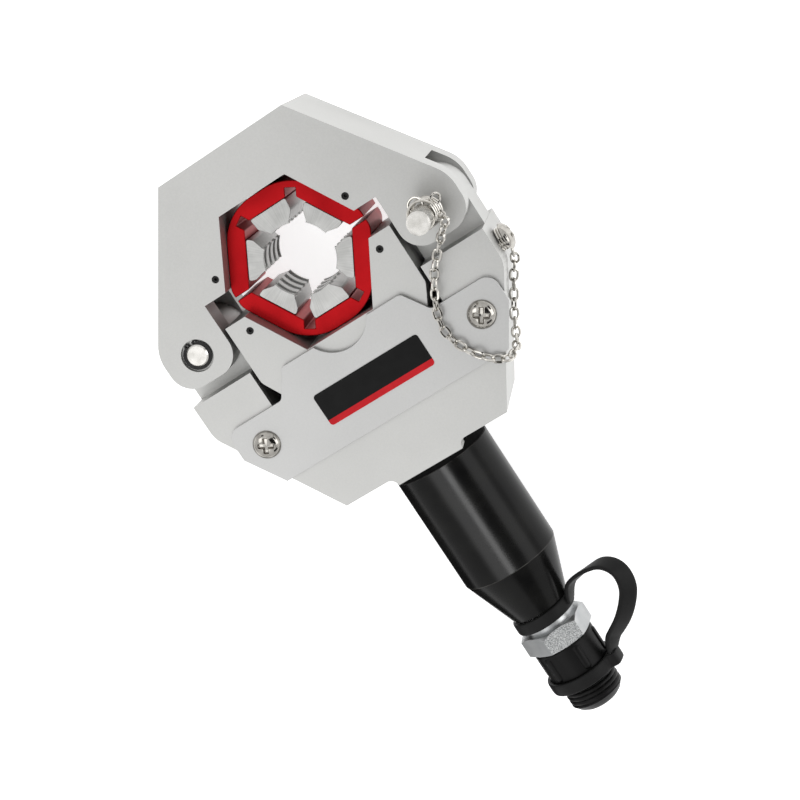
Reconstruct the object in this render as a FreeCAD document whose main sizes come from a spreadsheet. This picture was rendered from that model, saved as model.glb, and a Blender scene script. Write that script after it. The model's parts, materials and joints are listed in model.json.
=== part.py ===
import FreeCAD, Part
import math
import os
import types

import Sketcher

# Hydraulic crimping head for hose ferrules, in millimetres.
# The origin is where the axis of the die bore (Z) crosses the axis of the ram (Y).
# +Z points out of the front face, +Y towards the top of the jaw.

COS30 = math.cos(math.radians(30))
TAN30 = math.tan(math.radians(30))

# Driving dimensions: name, value, meaning
SIZES = [
    ("body_thickness", 54.0, "thickness of the jaw and of the frame"),
    ("sliding_gap", 0.3, "clearance between sliding flat faces"),
    ("shaft_gap", 0.05, "radial clearance of pins and rods in their holes"),
    ("seat_apothem", 30.0, "centre of the hexagonal die seat to its flats"),
    ("seat_offset", 4.35, "bore axis to the centre of each half seat"),
    ("jaw_top", 59.0, "height of the jaw's top face"),
    ("jaw_top_half", 32.6, "half length of the jaw's top face"),
    ("ear_margin", 0.7, "side of the frame's lugs to the side of the jaw"),
    ("jaw_shoulder", -2.6, "height where the jaw's slanted side ends"),
    ("ear_bottom", -24.0, "lower end of the jaw's ears"),
    ("channel_half", 45.1, "half width of the channel between the ears"),
    ("jaw_step", 5.5, "height of the jaw's underside beside the seat"),
    ("ear_round", 11.0, "radius at the lower corners of the ears"),
    ("shoulder_round", 18.0, "radius at the jaw's shoulders"),
    ("lug_play", 0.6, "side of the ram channel to the frame's lugs"),
    ("pin_height", -11.0, "height of the jaw pins"),
    ("pin_radius", 5.0, "radius of the jaw pins"),
    ("lock_pin_stand", 34.0, "length of lock pin in front of the jaw"),
    ("lug_radius", 15.2, "radius of the frame's lugs round the pins"),
    ("lug_thickness", 26.0, "thickness of the frame's lugs"),
    ("lug_top_play", 3.3, "clearance over the lugs in the slots of the jaw's ears"),
    ("frame_shoulder", -29.7, "height of the frame's shoulders"),
    ("frame_inset", 0.5, "side of the jaw to the side of the frame"),
    ("frame_corner", -46.7, "height where the frame's slanted sides start"),
    ("frame_bottom", -103.3, "lower face of the frame"),
    ("frame_bottom_half", 42.3, "half length of the frame's lower face"),
    ("lip_half", 16.8, "half width of the lips over the barrel"),
    ("lip_height", 3.9, "height of the lips over the barrel"),
    ("back_wall", 8.0, "wall behind the ram channel"),
    ("floor_play", 1.5, "clearance under the retracted pusher block"),
    ("cover_thickness", 2.0, "thickness of the cover plate"),
    ("cover_inset", 6.5, "side of the frame to the side of the cover plate"),
    ("cover_lobe_top", -47.2, "top of the cover plate's side lobes"),
    ("cover_tab_top", -34.8, "top of the cover plate's middle tab"),
    ("cover_tab_half", 31.2, "half width of the middle tab at its top"),
    ("cover_tab_foot", 39.5, "half width of the middle tab at its foot"),
    ("cover_side_end", -61.5, "height where the cover plate starts to narrow"),
    ("cover_bottom", -79.5, "lower edge of the cover plate"),
    ("cover_bottom_half", 58.3, "half length of the cover plate's lower edge"),
    ("scallop_radius", 15.7, "radius of the scallop in the tab"),
    ("scallop_height", -27.5, "height of the scallop's centre"),
    ("cover_screw_inset", 13.2, "side of the cover plate to each of its screws"),
    ("cover_screw_height", -60.6, "height of the cover screws"),
    ("screw_shank", 2.5, "shank radius of the cover screws"),
    ("screw_head", 6.5, "head radius of the pan head screws"),
    ("screw_head_height", 3.4, "head height of the pan head screws"),
    ("screw_length", 12.0, "shank length of the pan head screws"),
    ("pusher_play", 1.7, "clearance beside the pusher block in its channel"),
    ("pusher_top", -7.65, "height of the pusher block's top faces"),
    ("pusher_side_end", -36.4, "height where the pusher starts to narrow"),
    ("pusher_floor", 15.65, "thickness of the pusher block under its seat"),
    ("pusher_bottom_half", 36.0, "half length of the pusher's lower face"),
    ("ram_retract", 12.0, "travel of the ram back from the photographed place"),
    ("grub_wall", 4.48, "side of the seat to the axis of the die grub screws"),
    ("grub_jaw_height", 12.7, "height of the jaw's die grub screws"),
    ("grub_pusher_height", -14.1, "height of the pusher's die grub screws"),
    ("grub_radius", 1.6, "radius of the die grub screws"),
    ("grub_length", 6.0, "length of the die grub screws"),
    ("die_setback", 9.5, "front face of the jaw to the front of the dies"),
    ("holder_wall", 8.5, "wall of the die holders"),
    ("die_split", 1.6, "gap between the two die holders"),
    ("holder_round", 24.0, "radius at the outer corners of the die holders"),
    ("holder_slot_half", 2.4, "half width of the slots in the holders' corners"),
    ("holder_slot_depth", 6.0, "depth of those slots"),
    ("segment_back_half", 9.4, "half width of a die segment at its back"),
    ("segment_waist_half", 8.7, "half width of a die segment above its taper"),
    ("segment_taper", 4.0, "height of the taper of a die segment"),
    ("segment_tip_half", 5.0, "half width of a die segment at the bore"),
    ("segment_play", 0.15, "clearance between a die segment and its holder"),
    ("segment_back_round", 1.0, "radius at the back corners of a die segment"),
    ("segment_waist_round", 2.6, "radius above the taper of a die segment"),
    ("bore_radius", 16.2, "radius of the bore between the die segments"),
    ("groove_depth", 1.2, "depth of the grooves in the die segments"),
    ("groove_width", 4.5, "width of the grooves in the die segments"),
    ("groove_pitch", 9.0, "spacing of the grooves in the die segments"),
    ("rod_radius", 14.0, "radius of the piston rod"),
    ("piston_radius", 18.0, "radius of the barrel's bore"),
    ("piston_top", -128.0, "upper face of the piston"),
    ("piston_length", 14.0, "length of the piston"),
    ("seal_radius", 1.6, "section radius of the piston seal"),
    ("gland_bottom", -86.0, "lower face of the gland ring"),
    ("spring_wire", 1.4, "wire radius of the return spring"),
    ("spring_turns", 6.0, "turns of the return spring"),
    ("spring_facets", 14.0, "flat facets in each turn of the return spring"),
    ("neck_radius", 22.0, "radius of the barrel's threaded neck"),
    ("neck_top", -72.0, "upper end of the barrel"),
    ("barrel_radius", 24.0, "radius of the barrel"),
    ("barrel_shoulder", -98.0, "upper end of the barrel's full radius"),
    ("barrel_taper_top", -169.0, "start of the barrel's taper"),
    ("barrel_end", -195.5, "lower end of the barrel"),
    ("barrel_end_radius", 14.6, "radius of the barrel's lower end"),
    ("chamber_end", -160.0, "lower end of the barrel's bore"),
    ("port_radius", 3.0, "radius of the oil port"),
    ("stub_radius", 9.0, "radius of the threads of the coupler"),
    ("stub_length", 12.0, "length of the coupler's thread in the barrel"),
    ("coupler_neck_radius", 12.8, "radius of the coupler's neck"),
    ("coupler_neck_length", 9.5, "length of the coupler's neck"),
    ("hex_apothem", 15.0, "coupler's axis to the flats of its hexagon"),
    ("hex_length", 10.0, "length of the coupler's hexagon"),
    ("hex_turn", 17.0, "angle in degrees by which the hexagon's front flat is turned towards +X"),
    ("spigot_radius", 12.0, "radius of the coupler's threaded spigot"),
    ("spigot_length", 22.0, "length of the coupler's threaded spigot"),
    ("poppet_radius", 5.0, "radius of the coupler's poppet"),
    ("cap_radius", 15.2, "radius of the dust cap"),
    ("cap_length", 21.5, "length of the dust cap down to its stub"),
    ("cap_stub_radius", 13.4, "radius of the threaded stub of the dust cap"),
    ("cap_stub_length", 15.5, "length of the stub of the dust cap"),
    ("cap_rib_height", 0.9, "height of the grip ribs of the dust cap"),
    ("cap_rib_half", 1.9, "half width of the grip ribs of the dust cap"),
    ("cap_turn", 4.0, "angle in degrees by which the ribs are turned to the front"),
    ("ring_wall", 2.2, "wall of the strap's end ring"),
    ("ring_length", 6.6, "length of the strap's end ring"),
    ("strap_ring_length", 5.4, "length of the strap's ring on the neck"),
    ("strap_width", 9.0, "width of the strap"),
    ("strap_thickness", 2.2, "thickness of the strap"),
    ("strap_reach", 29.3, "neck ring to the far side of the strap's loop"),
    ("strap_rise", 15.4, "neck ring to the top of the strap's loop"),
    ("strap_turn", 15.0, "angle in degrees by which the strap's loop is turned to the front"),
    ("strap_ear_reach", 21.5, "axis of the coupler to the end of the end ring's ear"),
    ("side_screw_height", -40.0, "height of the chain's screw"),
    ("side_screw_depth", 6.5, "distance of the chain's screw in front of the middle plane"),
    ("key_ring_play", 1.2, "radial play of the coiled ring on the lock pin"),
    ("key_ring_wall", 1.9, "wall of the coiled ring on the lock pin"),
    ("key_ring_height", 4.2, "height of the coiled ring on the lock pin"),
    ("key_ring_lift", 12.0, "jaw's front face to the coiled ring"),
    ("chain_radius", 1.9, "radius of the chain's outer shape"),
]


class Size:
    """A length with the sheet expression that gives it."""

    def __init__(self, number, text=None):
        self.number = float(number)
        self.text = text or repr(float(number))

    def join(self, sign, other, number):
        return Size(number, "(" + self.text + " " + sign + " " + other.text + ")")

    def __add__(self, other):
        other = size_of(other)
        return self.join("+", other, self.number + other.number)

    def __sub__(self, other):
        other = size_of(other)
        return self.join("-", other, self.number - other.number)

    def __mul__(self, other):
        other = size_of(other)
        return self.join("*", other, self.number * other.number)

    def __truediv__(self, other):
        other = size_of(other)
        return self.join("/", other, self.number / other.number)

    def __radd__(self, other):
        return size_of(other) + self

    def __rsub__(self, other):
        return size_of(other) - self

    def __rmul__(self, other):
        return size_of(other) * self

    def __neg__(self):
        return size_of(0) - self


def size_of(value):
    return value if isinstance(value, Size) else Size(value)


doc = FreeCAD.newDocument("crimping_head")
sheet = doc.addObject("Spreadsheet::Sheet", "Sizes")
named = {}
for row, (alias, value, meaning) in enumerate(SIZES, 1):
    sheet.set("A" + str(row), meaning)
    sheet.set("B" + str(row), str(value))
    sheet.setAlias("B" + str(row), alias)
    named[alias] = Size(value, "Sizes." + alias)
doc.recompute()
S = types.SimpleNamespace(**named)

FRONT = S.body_thickness / 2
BACK = -FRONT

# What fits in the ram channel or stands beside it follows the channel's width
PUSHER_HALF = S.channel_half - S.pusher_play
PIN_ACROSS = S.channel_half + S.lug_play + S.lug_radius
SIDE_HALF = PIN_ACROSS + S.lug_radius + S.ear_margin
FRAME_HALF = SIDE_HALF - S.frame_inset
COVER_HALF = FRAME_HALF - S.cover_inset
COVER_SCREW_ACROSS = COVER_HALF - S.cover_screw_inset
LUG_SLOT_TOP = S.pin_height + S.lug_radius + S.lug_top_play

# What stands under the die seat follows the seat
PUSHER_BOTTOM = -(S.seat_offset + S.seat_apothem) - S.pusher_floor
CHANNEL_FLOOR = PUSHER_BOTTOM - S.ram_retract - S.floor_play


def new_body(name):
    body = doc.addObject("PartDesign::Body", name)
    body.Label = name
    return body


def new_sketch(body, name, plane, lift=None):
    sketch = body.newObject("Sketcher::SketchObject", body.Name + "_" + name)
    origin = [feature for feature in body.Origin.OriginFeatures if feature.Role == plane][0]
    sketch.AttachmentSupport = (origin, [""])
    sketch.MapMode = "FlatFace"
    if lift is not None:
        sketch.setExpression("AttachmentOffset.Base.z", size_of(lift).text)
    return sketch


def bind(sketch, kind, geometry, point, size):
    size = size_of(size)
    constraint = Sketcher.Constraint(kind, -1, 1, geometry, point, size.number)
    index = sketch.addConstraint(constraint)
    sketch.setExpression("Constraints[" + str(index) + "]", size.text)


def polygon(sketch, corners):
    """Closed outline of straight sides through the corners."""
    first = sketch.GeometryCount
    places = [FreeCAD.Vector(size_of(x).number, size_of(y).number, 0) for x, y in corners]
    count = len(places)
    for index in range(count):
        sketch.addGeometry(Part.LineSegment(places[index], places[(index + 1) % count]), False)
    for index in range(count):
        after = first + (index + 1) % count
        sketch.addConstraint(Sketcher.Constraint("Coincident", first + index, 2, after, 1))
    for index, (x, y) in enumerate(corners):
        for kind, value, axis in (("DistanceX", x, -2), ("DistanceY", y, -1)):
            if size_of(value).text == "0.0":
                on_axis = Sketcher.Constraint("PointOnObject", first + index, 1, axis)
                sketch.addConstraint(on_axis)
            else:
                bind(sketch, kind, first + index, 1, value)
    return sketch


def circle(sketch, x, y, radius):
    radius = size_of(radius)
    middle = FreeCAD.Vector(size_of(x).number, size_of(y).number, 0)
    geometry = sketch.addGeometry(Part.Circle(middle, FreeCAD.Vector(0, 0, 1), radius.number), False)
    for kind, value, axis in (("DistanceX", x, -2), ("DistanceY", y, -1)):
        if size_of(value).text == "0.0":
            sketch.addConstraint(Sketcher.Constraint("PointOnObject", geometry, 3, axis))
        else:
            bind(sketch, kind, geometry, 3, value)
    index = sketch.addConstraint(Sketcher.Constraint("Radius", geometry, radius.number))
    sketch.setExpression("Constraints[" + str(index) + "]", radius.text)
    return sketch


def pad(body, sketch, length, both_ways=False, backwards=False):
    feature = body.newObject("PartDesign::Pad", sketch.Name + "_pad")
    feature.Profile = sketch
    feature.setExpression("Length", size_of(length).text)
    feature.Midplane = both_ways
    feature.Reversed = backwards
    sketch.Visibility = False
    doc.recompute()
    return feature


def pocket(body, sketch, depth, both_ways=False, backwards=False):
    before = body.Shape.Volume
    feature = body.newObject("PartDesign::Pocket", sketch.Name + "_pocket")
    feature.Profile = sketch
    feature.setExpression("Length", size_of(depth).text)
    feature.Midplane = both_ways
    feature.Reversed = backwards
    doc.recompute()
    if not body.Shape.Volume < before - 0.001:
        raise RuntimeError(sketch.Name + " cuts nothing")
    return feature


def turned(body, sketch):
    """Solid of revolution about the sketch's own vertical axis."""
    feature = body.newObject("PartDesign::Revolution", sketch.Name + "_turned")
    feature.Profile = sketch
    feature.ReferenceAxis = (sketch, ["V_Axis"])
    feature.Angle = 360
    doc.recompute()
    return feature


def turned_cut(body, sketch):
    before = body.Shape.Volume
    feature = body.newObject("PartDesign::Groove", sketch.Name + "_groove")
    feature.Profile = sketch
    feature.ReferenceAxis = (sketch, ["V_Axis"])
    feature.Angle = 360
    doc.recompute()
    if not body.Shape.Volume < before - 0.001:
        raise RuntimeError(sketch.Name + " cuts nothing")
    return feature


def upright_edges(shape, corners):
    """Names of the edges along Z that stand at the given corners."""
    found = []
    for index, edge in enumerate(shape.Edges, 1):
        ends = [vertex.Point for vertex in edge.Vertexes]
        if len(ends) != 2 or abs(ends[0].z - ends[1].z) < 0.01:
            continue
        for x, y in corners:
            near = [math.hypot(end.x - size_of(x).number, end.y - size_of(y).number) for end in ends]
            if max(near) < 0.02:
                found.append("Edge" + str(index))
                break
    return found


def round_corners(body, corners, radius, name):
    base = body.Tip
    edges = upright_edges(base.Shape, corners)
    if not edges:
        raise RuntimeError(body.Name + " has no edge to round at " + name)
    feature = body.newObject("PartDesign::Fillet", body.Name + "_" + name)
    feature.Base = (base, edges)
    feature.setExpression("Radius", size_of(radius).text)
    doc.recompute()
    return feature


def both_sides(x, y):
    return [(x, y), (-x, y)]


def mirrored_outline(right_half):
    """Corners of the right half, top to bottom, and then of its mirror image."""
    return right_half + [(-x, y) for x, y in reversed(right_half)]


def seat_side(height, centre, apothem):
    """Distance from the ram axis to a slanted flat of a half hexagon at a height above its centre."""
    return (apothem - (height - centre) * 0.5) / COS30


GRUB_ACROSS = seat_side(S.grub_jaw_height, S.seat_offset, S.seat_apothem) + S.grub_wall


def flat_half(apothem):
    return apothem * TAN30


def group(name, bodies):
    compound = doc.addObject("Part::Compound", name)
    compound.Label = name
    compound.Links = bodies
    doc.recompute()
    return compound


def make_upper_jaw():
    body = new_body("upper_jaw")
    seat_x = seat_side(S.jaw_step, S.seat_offset, S.seat_apothem)
    outer = [
        (S.jaw_top_half, S.jaw_top),
        (SIDE_HALF, S.jaw_shoulder),
        (SIDE_HALF, S.ear_bottom),
        (S.channel_half, S.ear_bottom),
        (S.channel_half, S.jaw_step),
        (seat_x, S.jaw_step),
        (flat_half(S.seat_apothem), S.seat_offset + S.seat_apothem),
    ]
    pad(body, polygon(new_sketch(body, "outline", "XY_Plane"), mirrored_outline(outer)), S.body_thickness, True)
    round_corners(body, both_sides(SIDE_HALF, S.jaw_shoulder), S.shoulder_round, "shoulders")
    ears = both_sides(SIDE_HALF, S.ear_bottom) + both_sides(S.channel_half, S.ear_bottom)
    round_corners(body, ears, S.ear_round, "ear_corners")
    slots = new_sketch(body, "lug_slots", "XY_Plane")
    for side in (1, -1):
        inner = (S.channel_half - 2) * side
        outside = (SIDE_HALF + 2) * side
        bottom = S.ear_bottom - 2
        polygon(slots, [(inner, bottom), (outside, bottom), (outside, LUG_SLOT_TOP), (inner, LUG_SLOT_TOP)])
    pocket(body, slots, S.lug_thickness + 2 * S.sliding_gap, True)
    holes = new_sketch(body, "pin_holes", "XY_Plane")
    for side in (1, -1):
        circle(holes, PIN_ACROSS * side, S.pin_height, S.pin_radius + S.shaft_gap)
    pocket(body, holes, S.body_thickness + 2, True)
    recess = new_sketch(body, "clip_recess", "XY_Plane", FRONT)
    circle(recess, -PIN_ACROSS, S.pin_height, S.pin_radius + 2.4)
    pocket(body, recess, 2.0)
    grubs = new_sketch(body, "grub_holes", "XY_Plane", FRONT)
    for side in (1, -1):
        circle(grubs, GRUB_ACROSS * side, S.grub_jaw_height, S.grub_radius + S.shaft_gap)
    pocket(body, grubs, S.grub_length + 1)
    return body


def make_lower_frame():
    body = new_body("lower_frame")
    lip_bottom = S.frame_bottom - S.lip_height
    outer = [
        (FRAME_HALF, S.frame_shoulder),
        (FRAME_HALF, S.frame_corner),
        (S.frame_bottom_half, S.frame_bottom),
        (S.lip_half, S.frame_bottom),
        (S.lip_half, lip_bottom),
    ]
    pad(body, polygon(new_sketch(body, "outline", "XY_Plane"), mirrored_outline(outer)), S.body_thickness, True)
    round_corners(body, both_sides(FRAME_HALF, S.frame_corner), 12, "side_corners")
    round_corners(body, both_sides(S.lip_half, S.frame_bottom), S.lip_height - 0.2, "lip_roots")
    channel = new_sketch(body, "channel", "XY_Plane", FRONT)
    narrow = S.pusher_bottom_half + S.pusher_play
    slant_top = S.pusher_side_end - S.ram_retract - S.sliding_gap
    right = [(S.channel_half, S.frame_shoulder + 2), (S.channel_half, slant_top), (narrow, CHANNEL_FLOOR)]
    polygon(channel, mirrored_outline(right))
    pocket(body, channel, S.body_thickness - S.back_wall)
    arms = new_sketch(body, "lug_arms", "XY_Plane")
    for side in (1, -1):
        inner = (PIN_ACROSS - S.lug_radius) * side
        outside = (PIN_ACROSS + S.lug_radius) * side
        foot = S.frame_shoulder - 1
        polygon(arms, [(inner, foot), (outside, foot), (outside, S.pin_height), (inner, S.pin_height)])
    pad(body, arms, S.lug_thickness, True)
    heads = new_sketch(body, "lug_heads", "XY_Plane")
    for side in (1, -1):
        circle(heads, PIN_ACROSS * side, S.pin_height, S.lug_radius)
    pad(body, heads, S.lug_thickness, True)
    holes = new_sketch(body, "pin_holes", "XY_Plane")
    for side in (1, -1):
        circle(holes, PIN_ACROSS * side, S.pin_height, S.pin_radius + S.shaft_gap)
    pocket(body, holes, S.lug_thickness + 2, True)
    bore = new_sketch(body, "barrel_bore", "XY_Plane")
    rod_hole = S.rod_radius + S.sliding_gap
    neck_hole = S.neck_radius + S.shaft_gap
    barrel_hole = S.barrel_radius + S.shaft_gap
    polygon(bore, [
        (0, CHANNEL_FLOOR + 1), (rod_hole, CHANNEL_FLOOR + 1), (rod_hole, S.neck_top), (neck_hole, S.neck_top),
        (neck_hole, S.barrel_shoulder), (barrel_hole, S.barrel_shoulder), (barrel_hole, lip_bottom - 1),
        (0, lip_bottom - 1)])
    turned_cut(body, bore)
    screws = new_sketch(body, "cover_screw_holes", "XY_Plane", FRONT)
    for side in (1, -1):
        circle(screws, COVER_SCREW_ACROSS * side, S.cover_screw_height, S.screw_shank + S.shaft_gap)
    pocket(body, screws, S.screw_length)
    side_hole = new_sketch(body, "side_screw_hole", "YZ_Plane", FRAME_HALF)
    circle(side_hole, S.side_screw_height, S.side_screw_depth, S.screw_shank + S.shaft_gap)
    pocket(body, side_hole, S.screw_length)
    return body


def make_cover_plate():
    body = new_body("front_cover_plate")
    outer = [
        (S.cover_tab_half, S.cover_tab_top),
        (S.cover_tab_foot, S.cover_lobe_top),
        (COVER_HALF, S.cover_lobe_top),
        (COVER_HALF, S.cover_side_end),
        (S.cover_bottom_half, S.cover_bottom),
    ]
    pad(body, polygon(new_sketch(body, "outline", "XY_Plane", FRONT), mirrored_outline(outer)), S.cover_thickness)
    round_corners(body, both_sides(COVER_HALF, S.cover_lobe_top), 6, "lobes")
    round_corners(body, both_sides(S.cover_tab_half, S.cover_tab_top), 3, "tab_corners")
    round_corners(body, both_sides(S.cover_tab_foot, S.cover_lobe_top), 3, "tab_feet")
    scallop = new_sketch(body, "scallop", "XY_Plane", FRONT)
    circle(scallop, 0, S.scallop_height, S.scallop_radius)
    pocket(body, scallop, S.cover_thickness + 1, False, True)
    holes = new_sketch(body, "screw_holes", "XY_Plane", FRONT)
    for side in (1, -1):
        circle(holes, COVER_SCREW_ACROSS * side, S.cover_screw_height, S.screw_shank + S.sliding_gap)
    pocket(body, holes, S.cover_thickness + 1, False, True)
    return body


def make_pan_screw(name, across, height, lift):
    """Pan head screw along Z: the head's underside is at its body's XY plane."""
    body = new_body(name)
    profile = new_sketch(body, "profile", "XZ_Plane")
    dome = S.screw_head_height
    polygon(profile, [
        (0, -(S.screw_length - 1)), (S.screw_shank, -(S.screw_length - 1)), (S.screw_shank, 0), (S.screw_head, 0),
        (S.screw_head, dome * 0.3), (S.screw_head * 0.85, dome * 0.72), (S.screw_head * 0.5, dome * 0.95), (0, dome)])
    turned(body, profile)
    cross = new_sketch(body, "cross", "XY_Plane", S.screw_head_height + 0.1)
    arm = S.screw_head * 0.42
    thin = S.screw_head * 0.11
    polygon(cross, [
        (thin, arm), (thin, thin), (arm, thin), (arm, -thin), (thin, -thin), (thin, -arm),
        (-thin, -arm), (-thin, -thin), (-arm, -thin), (-arm, thin), (-thin, thin), (-thin, arm)])
    pocket(body, cross, S.screw_head_height * 0.6)
    body.setExpression("Placement.Base.x", size_of(across).text)
    body.setExpression("Placement.Base.y", size_of(height).text)
    body.setExpression("Placement.Base.z", size_of(lift).text)
    return body


def make_cover_screws():
    lift = FRONT + S.cover_thickness
    right = make_pan_screw("cover_screw_right", COVER_SCREW_ACROSS, S.cover_screw_height, lift)
    left = make_pan_screw("cover_screw_left", -COVER_SCREW_ACROSS, S.cover_screw_height, lift)
    return group("cover_screws", [right, left])


def make_chain_screw():
    body = make_pan_screw("chain_screw", FRAME_HALF + 3.4, S.side_screw_height, S.side_screw_depth)
    body.Placement = FreeCAD.Placement(body.Placement.Base, FreeCAD.Rotation(FreeCAD.Vector(0, 1, 0), 90))
    return body


def make_chain_screw_ring():
    """Coiled ring under the head of the side screw, which holds the chain's last link."""
    body = new_body("chain_anchor_ring")
    profile = new_sketch(body, "profile", "XZ_Plane")
    inside = S.screw_shank + S.sliding_gap
    polygon(profile, [
        (inside, 0.2), (inside + 3.0, 0.2), (inside + 3.4, 0.9), (inside + 3.0, 1.6), (inside + 3.4, 2.4),
        (inside + 3.0, 3.1), (inside, 3.1)])
    turned(body, profile)
    body.setExpression("Placement.Base.x", FRAME_HALF.text)
    body.setExpression("Placement.Base.y", S.side_screw_height.text)
    body.setExpression("Placement.Base.z", S.side_screw_depth.text)
    base = FreeCAD.Vector(FRAME_HALF.number, S.side_screw_height.number, S.side_screw_depth.number)
    body.Placement = FreeCAD.Placement(base, FreeCAD.Rotation(FreeCAD.Vector(0, 1, 0), 90))
    return body


def make_pin(name, side, stand, chamfer):
    body = new_body(name)
    profile = new_sketch(body, "profile", "XZ_Plane")
    low = BACK + 0.5
    high = FRONT + stand
    polygon(profile, [
        (0, low), (S.pin_radius - chamfer, low), (S.pin_radius, low + chamfer), (S.pin_radius, high - chamfer),
        (S.pin_radius - chamfer, high), (0, high)])
    turned(body, profile)
    body.setExpression("Placement.Base.x", (PIN_ACROSS * side).text)
    body.setExpression("Placement.Base.y", S.pin_height.text)
    return body


def make_hinge_pin():
    body = make_pin("hinge_pin", -1, 0.4, 0.6)
    groove = new_sketch(body, "clip_groove", "XZ_Plane")
    low = FRONT - 1.7
    polygon(groove, [
        (S.pin_radius - 0.6, low), (S.pin_radius + 1, low), (S.pin_radius + 1, low + 1.3),
        (S.pin_radius - 0.6, low + 1.3)])
    turned_cut(body, groove)
    return body


def make_hinge_pin_clip():
    """Retaining ring with two eyes, in the groove of the hinge pin."""
    body = new_body("hinge_pin_clip")
    lift = FRONT - 1.6
    disc = new_sketch(body, "disc", "XY_Plane", lift)
    circle(disc, 0, 0, S.pin_radius + 1.5)
    pad(body, disc, 1.1)
    eyes = new_sketch(body, "eyes", "XY_Plane", lift)
    for side in (1, -1):
        circle(eyes, 2.0 * side, S.pin_radius + 0.5, 1.3)
    pad(body, eyes, 1.1)
    hole = new_sketch(body, "hole", "XY_Plane", lift)
    circle(hole, 0, 0, S.pin_radius - 0.55)
    pocket(body, hole, 2.2, False, True)
    gap = new_sketch(body, "gap", "XY_Plane", lift)
    polygon(gap, [(0.8, S.pin_radius - 2), (0.8, S.pin_radius + 4), (-0.8, S.pin_radius + 4), (-0.8, S.pin_radius - 2)])
    pocket(body, gap, 2.2, False, True)
    eye_holes = new_sketch(body, "eye_holes", "XY_Plane", lift)
    for side in (1, -1):
        circle(eye_holes, 2.0 * side, S.pin_radius + 0.7, 0.6)
    pocket(body, eye_holes, 2.2, False, True)
    body.setExpression("Placement.Base.x", (-PIN_ACROSS).text)
    body.setExpression("Placement.Base.y", S.pin_height.text)
    return body


def make_lock_pin():
    return make_pin("lock_pin", 1, S.lock_pin_stand, 0.8)


def make_key_ring():
    """Loose coiled ring round the lock pin, which carries the chain's first link."""
    body = new_body("lock_pin_ring")
    inner = S.pin_radius + S.key_ring_play
    outer = inner + S.key_ring_wall
    step = S.key_ring_height / 3
    bulge = outer - 0.35
    polygon(new_sketch(body, "profile", "XZ_Plane"), [
        (inner, 0), (bulge, 0), (outer, step * 0.5), (bulge, step), (outer, step * 1.5), (bulge, step * 2),
        (outer, step * 2.5), (bulge, step * 3), (inner, step * 3)])
    turned(body, body.Group[-1])
    play = S.key_ring_play - S.shaft_gap
    body.setExpression("Placement.Base.x", (PIN_ACROSS + play * 0.55).text)
    body.setExpression("Placement.Base.y", (S.pin_height + play * 0.83).text)
    body.setExpression("Placement.Base.z", (FRONT + S.key_ring_lift).text)
    doc.recompute()
    return body


def make_grubs(name, height):
    bodies = []
    for label, side in (("right", 1), ("left", -1)):
        body = new_body(name + "_" + label)
        screw = new_sketch(body, "screw", "XY_Plane", FRONT - 1)
        circle(screw, GRUB_ACROSS * side, height, S.grub_radius)
        pad(body, screw, S.grub_length - 1, False, True)
        socket = new_sketch(body, "socket", "XY_Plane", FRONT - 1)
        circle(socket, GRUB_ACROSS * side, height, S.grub_radius * 0.5)
        pocket(body, socket, 1.5)
        bodies.append(body)
    return group(name, bodies)


def make_pusher():
    body = new_body("pusher_block")
    seat_x = seat_side(-S.pusher_top, S.seat_offset, S.seat_apothem)
    outer = [
        (flat_half(S.seat_apothem), -(S.seat_offset + S.seat_apothem)),
        (seat_x, S.pusher_top),
        (PUSHER_HALF, S.pusher_top),
        (PUSHER_HALF, S.pusher_side_end),
        (S.pusher_bottom_half, PUSHER_BOTTOM),
    ]
    front = FRONT - S.sliding_gap
    back = BACK + S.back_wall + S.sliding_gap
    sketch = polygon(new_sketch(body, "outline", "XY_Plane", back), mirrored_outline(outer))
    pad(body, sketch, front - back)
    round_corners(body, both_sides(PUSHER_HALF, S.pusher_side_end), 6, "side_corners")
    bolt = new_sketch(body, "bolt_hole", "XY_Plane")
    seat_bottom = -(S.seat_offset + S.seat_apothem)
    polygon(bolt, [
        (0, seat_bottom + 1), (8.4, seat_bottom + 1), (8.4, seat_bottom - 8.6), (5.2, seat_bottom - 8.6),
        (5.2, PUSHER_BOTTOM - 1), (0, PUSHER_BOTTOM - 1)])
    turned_cut(body, bolt)
    grubs = new_sketch(body, "grub_holes", "XY_Plane", front)
    for side in (1, -1):
        circle(grubs, GRUB_ACROSS * side, S.grub_pusher_height, S.grub_radius + S.shaft_gap)
    pocket(body, grubs, S.grub_length + 1)
    return body


def make_pusher_bolt():
    """Socket head screw that holds the pusher on the piston rod."""
    body = new_body("pusher_bolt")
    seat_bottom = -(S.seat_offset + S.seat_apothem)
    head_top = seat_bottom - 0.6
    head_low = seat_bottom - 8.6
    tip = PUSHER_BOTTOM - 11
    polygon(new_sketch(body, "profile", "XY_Plane"), [
        (0, head_top - 4), (3.4, head_top - 4), (3.4, head_top), (8.0, head_top), (8.0, head_low),
        (4.9, head_low), (4.9, tip), (0, tip)])
    turned(body, body.Group[-1])
    return body


def holder_corners(outer, inner, split):
    """Half ring round a half hexagon: straight sides down to the split line."""
    outer_x = outer / COS30
    return [
        (flat_half(outer), outer),
        (outer_x, 0),
        (outer_x, split),
        (seat_side(split, 0, inner), split),
        (flat_half(inner), inner),
    ]


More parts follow.
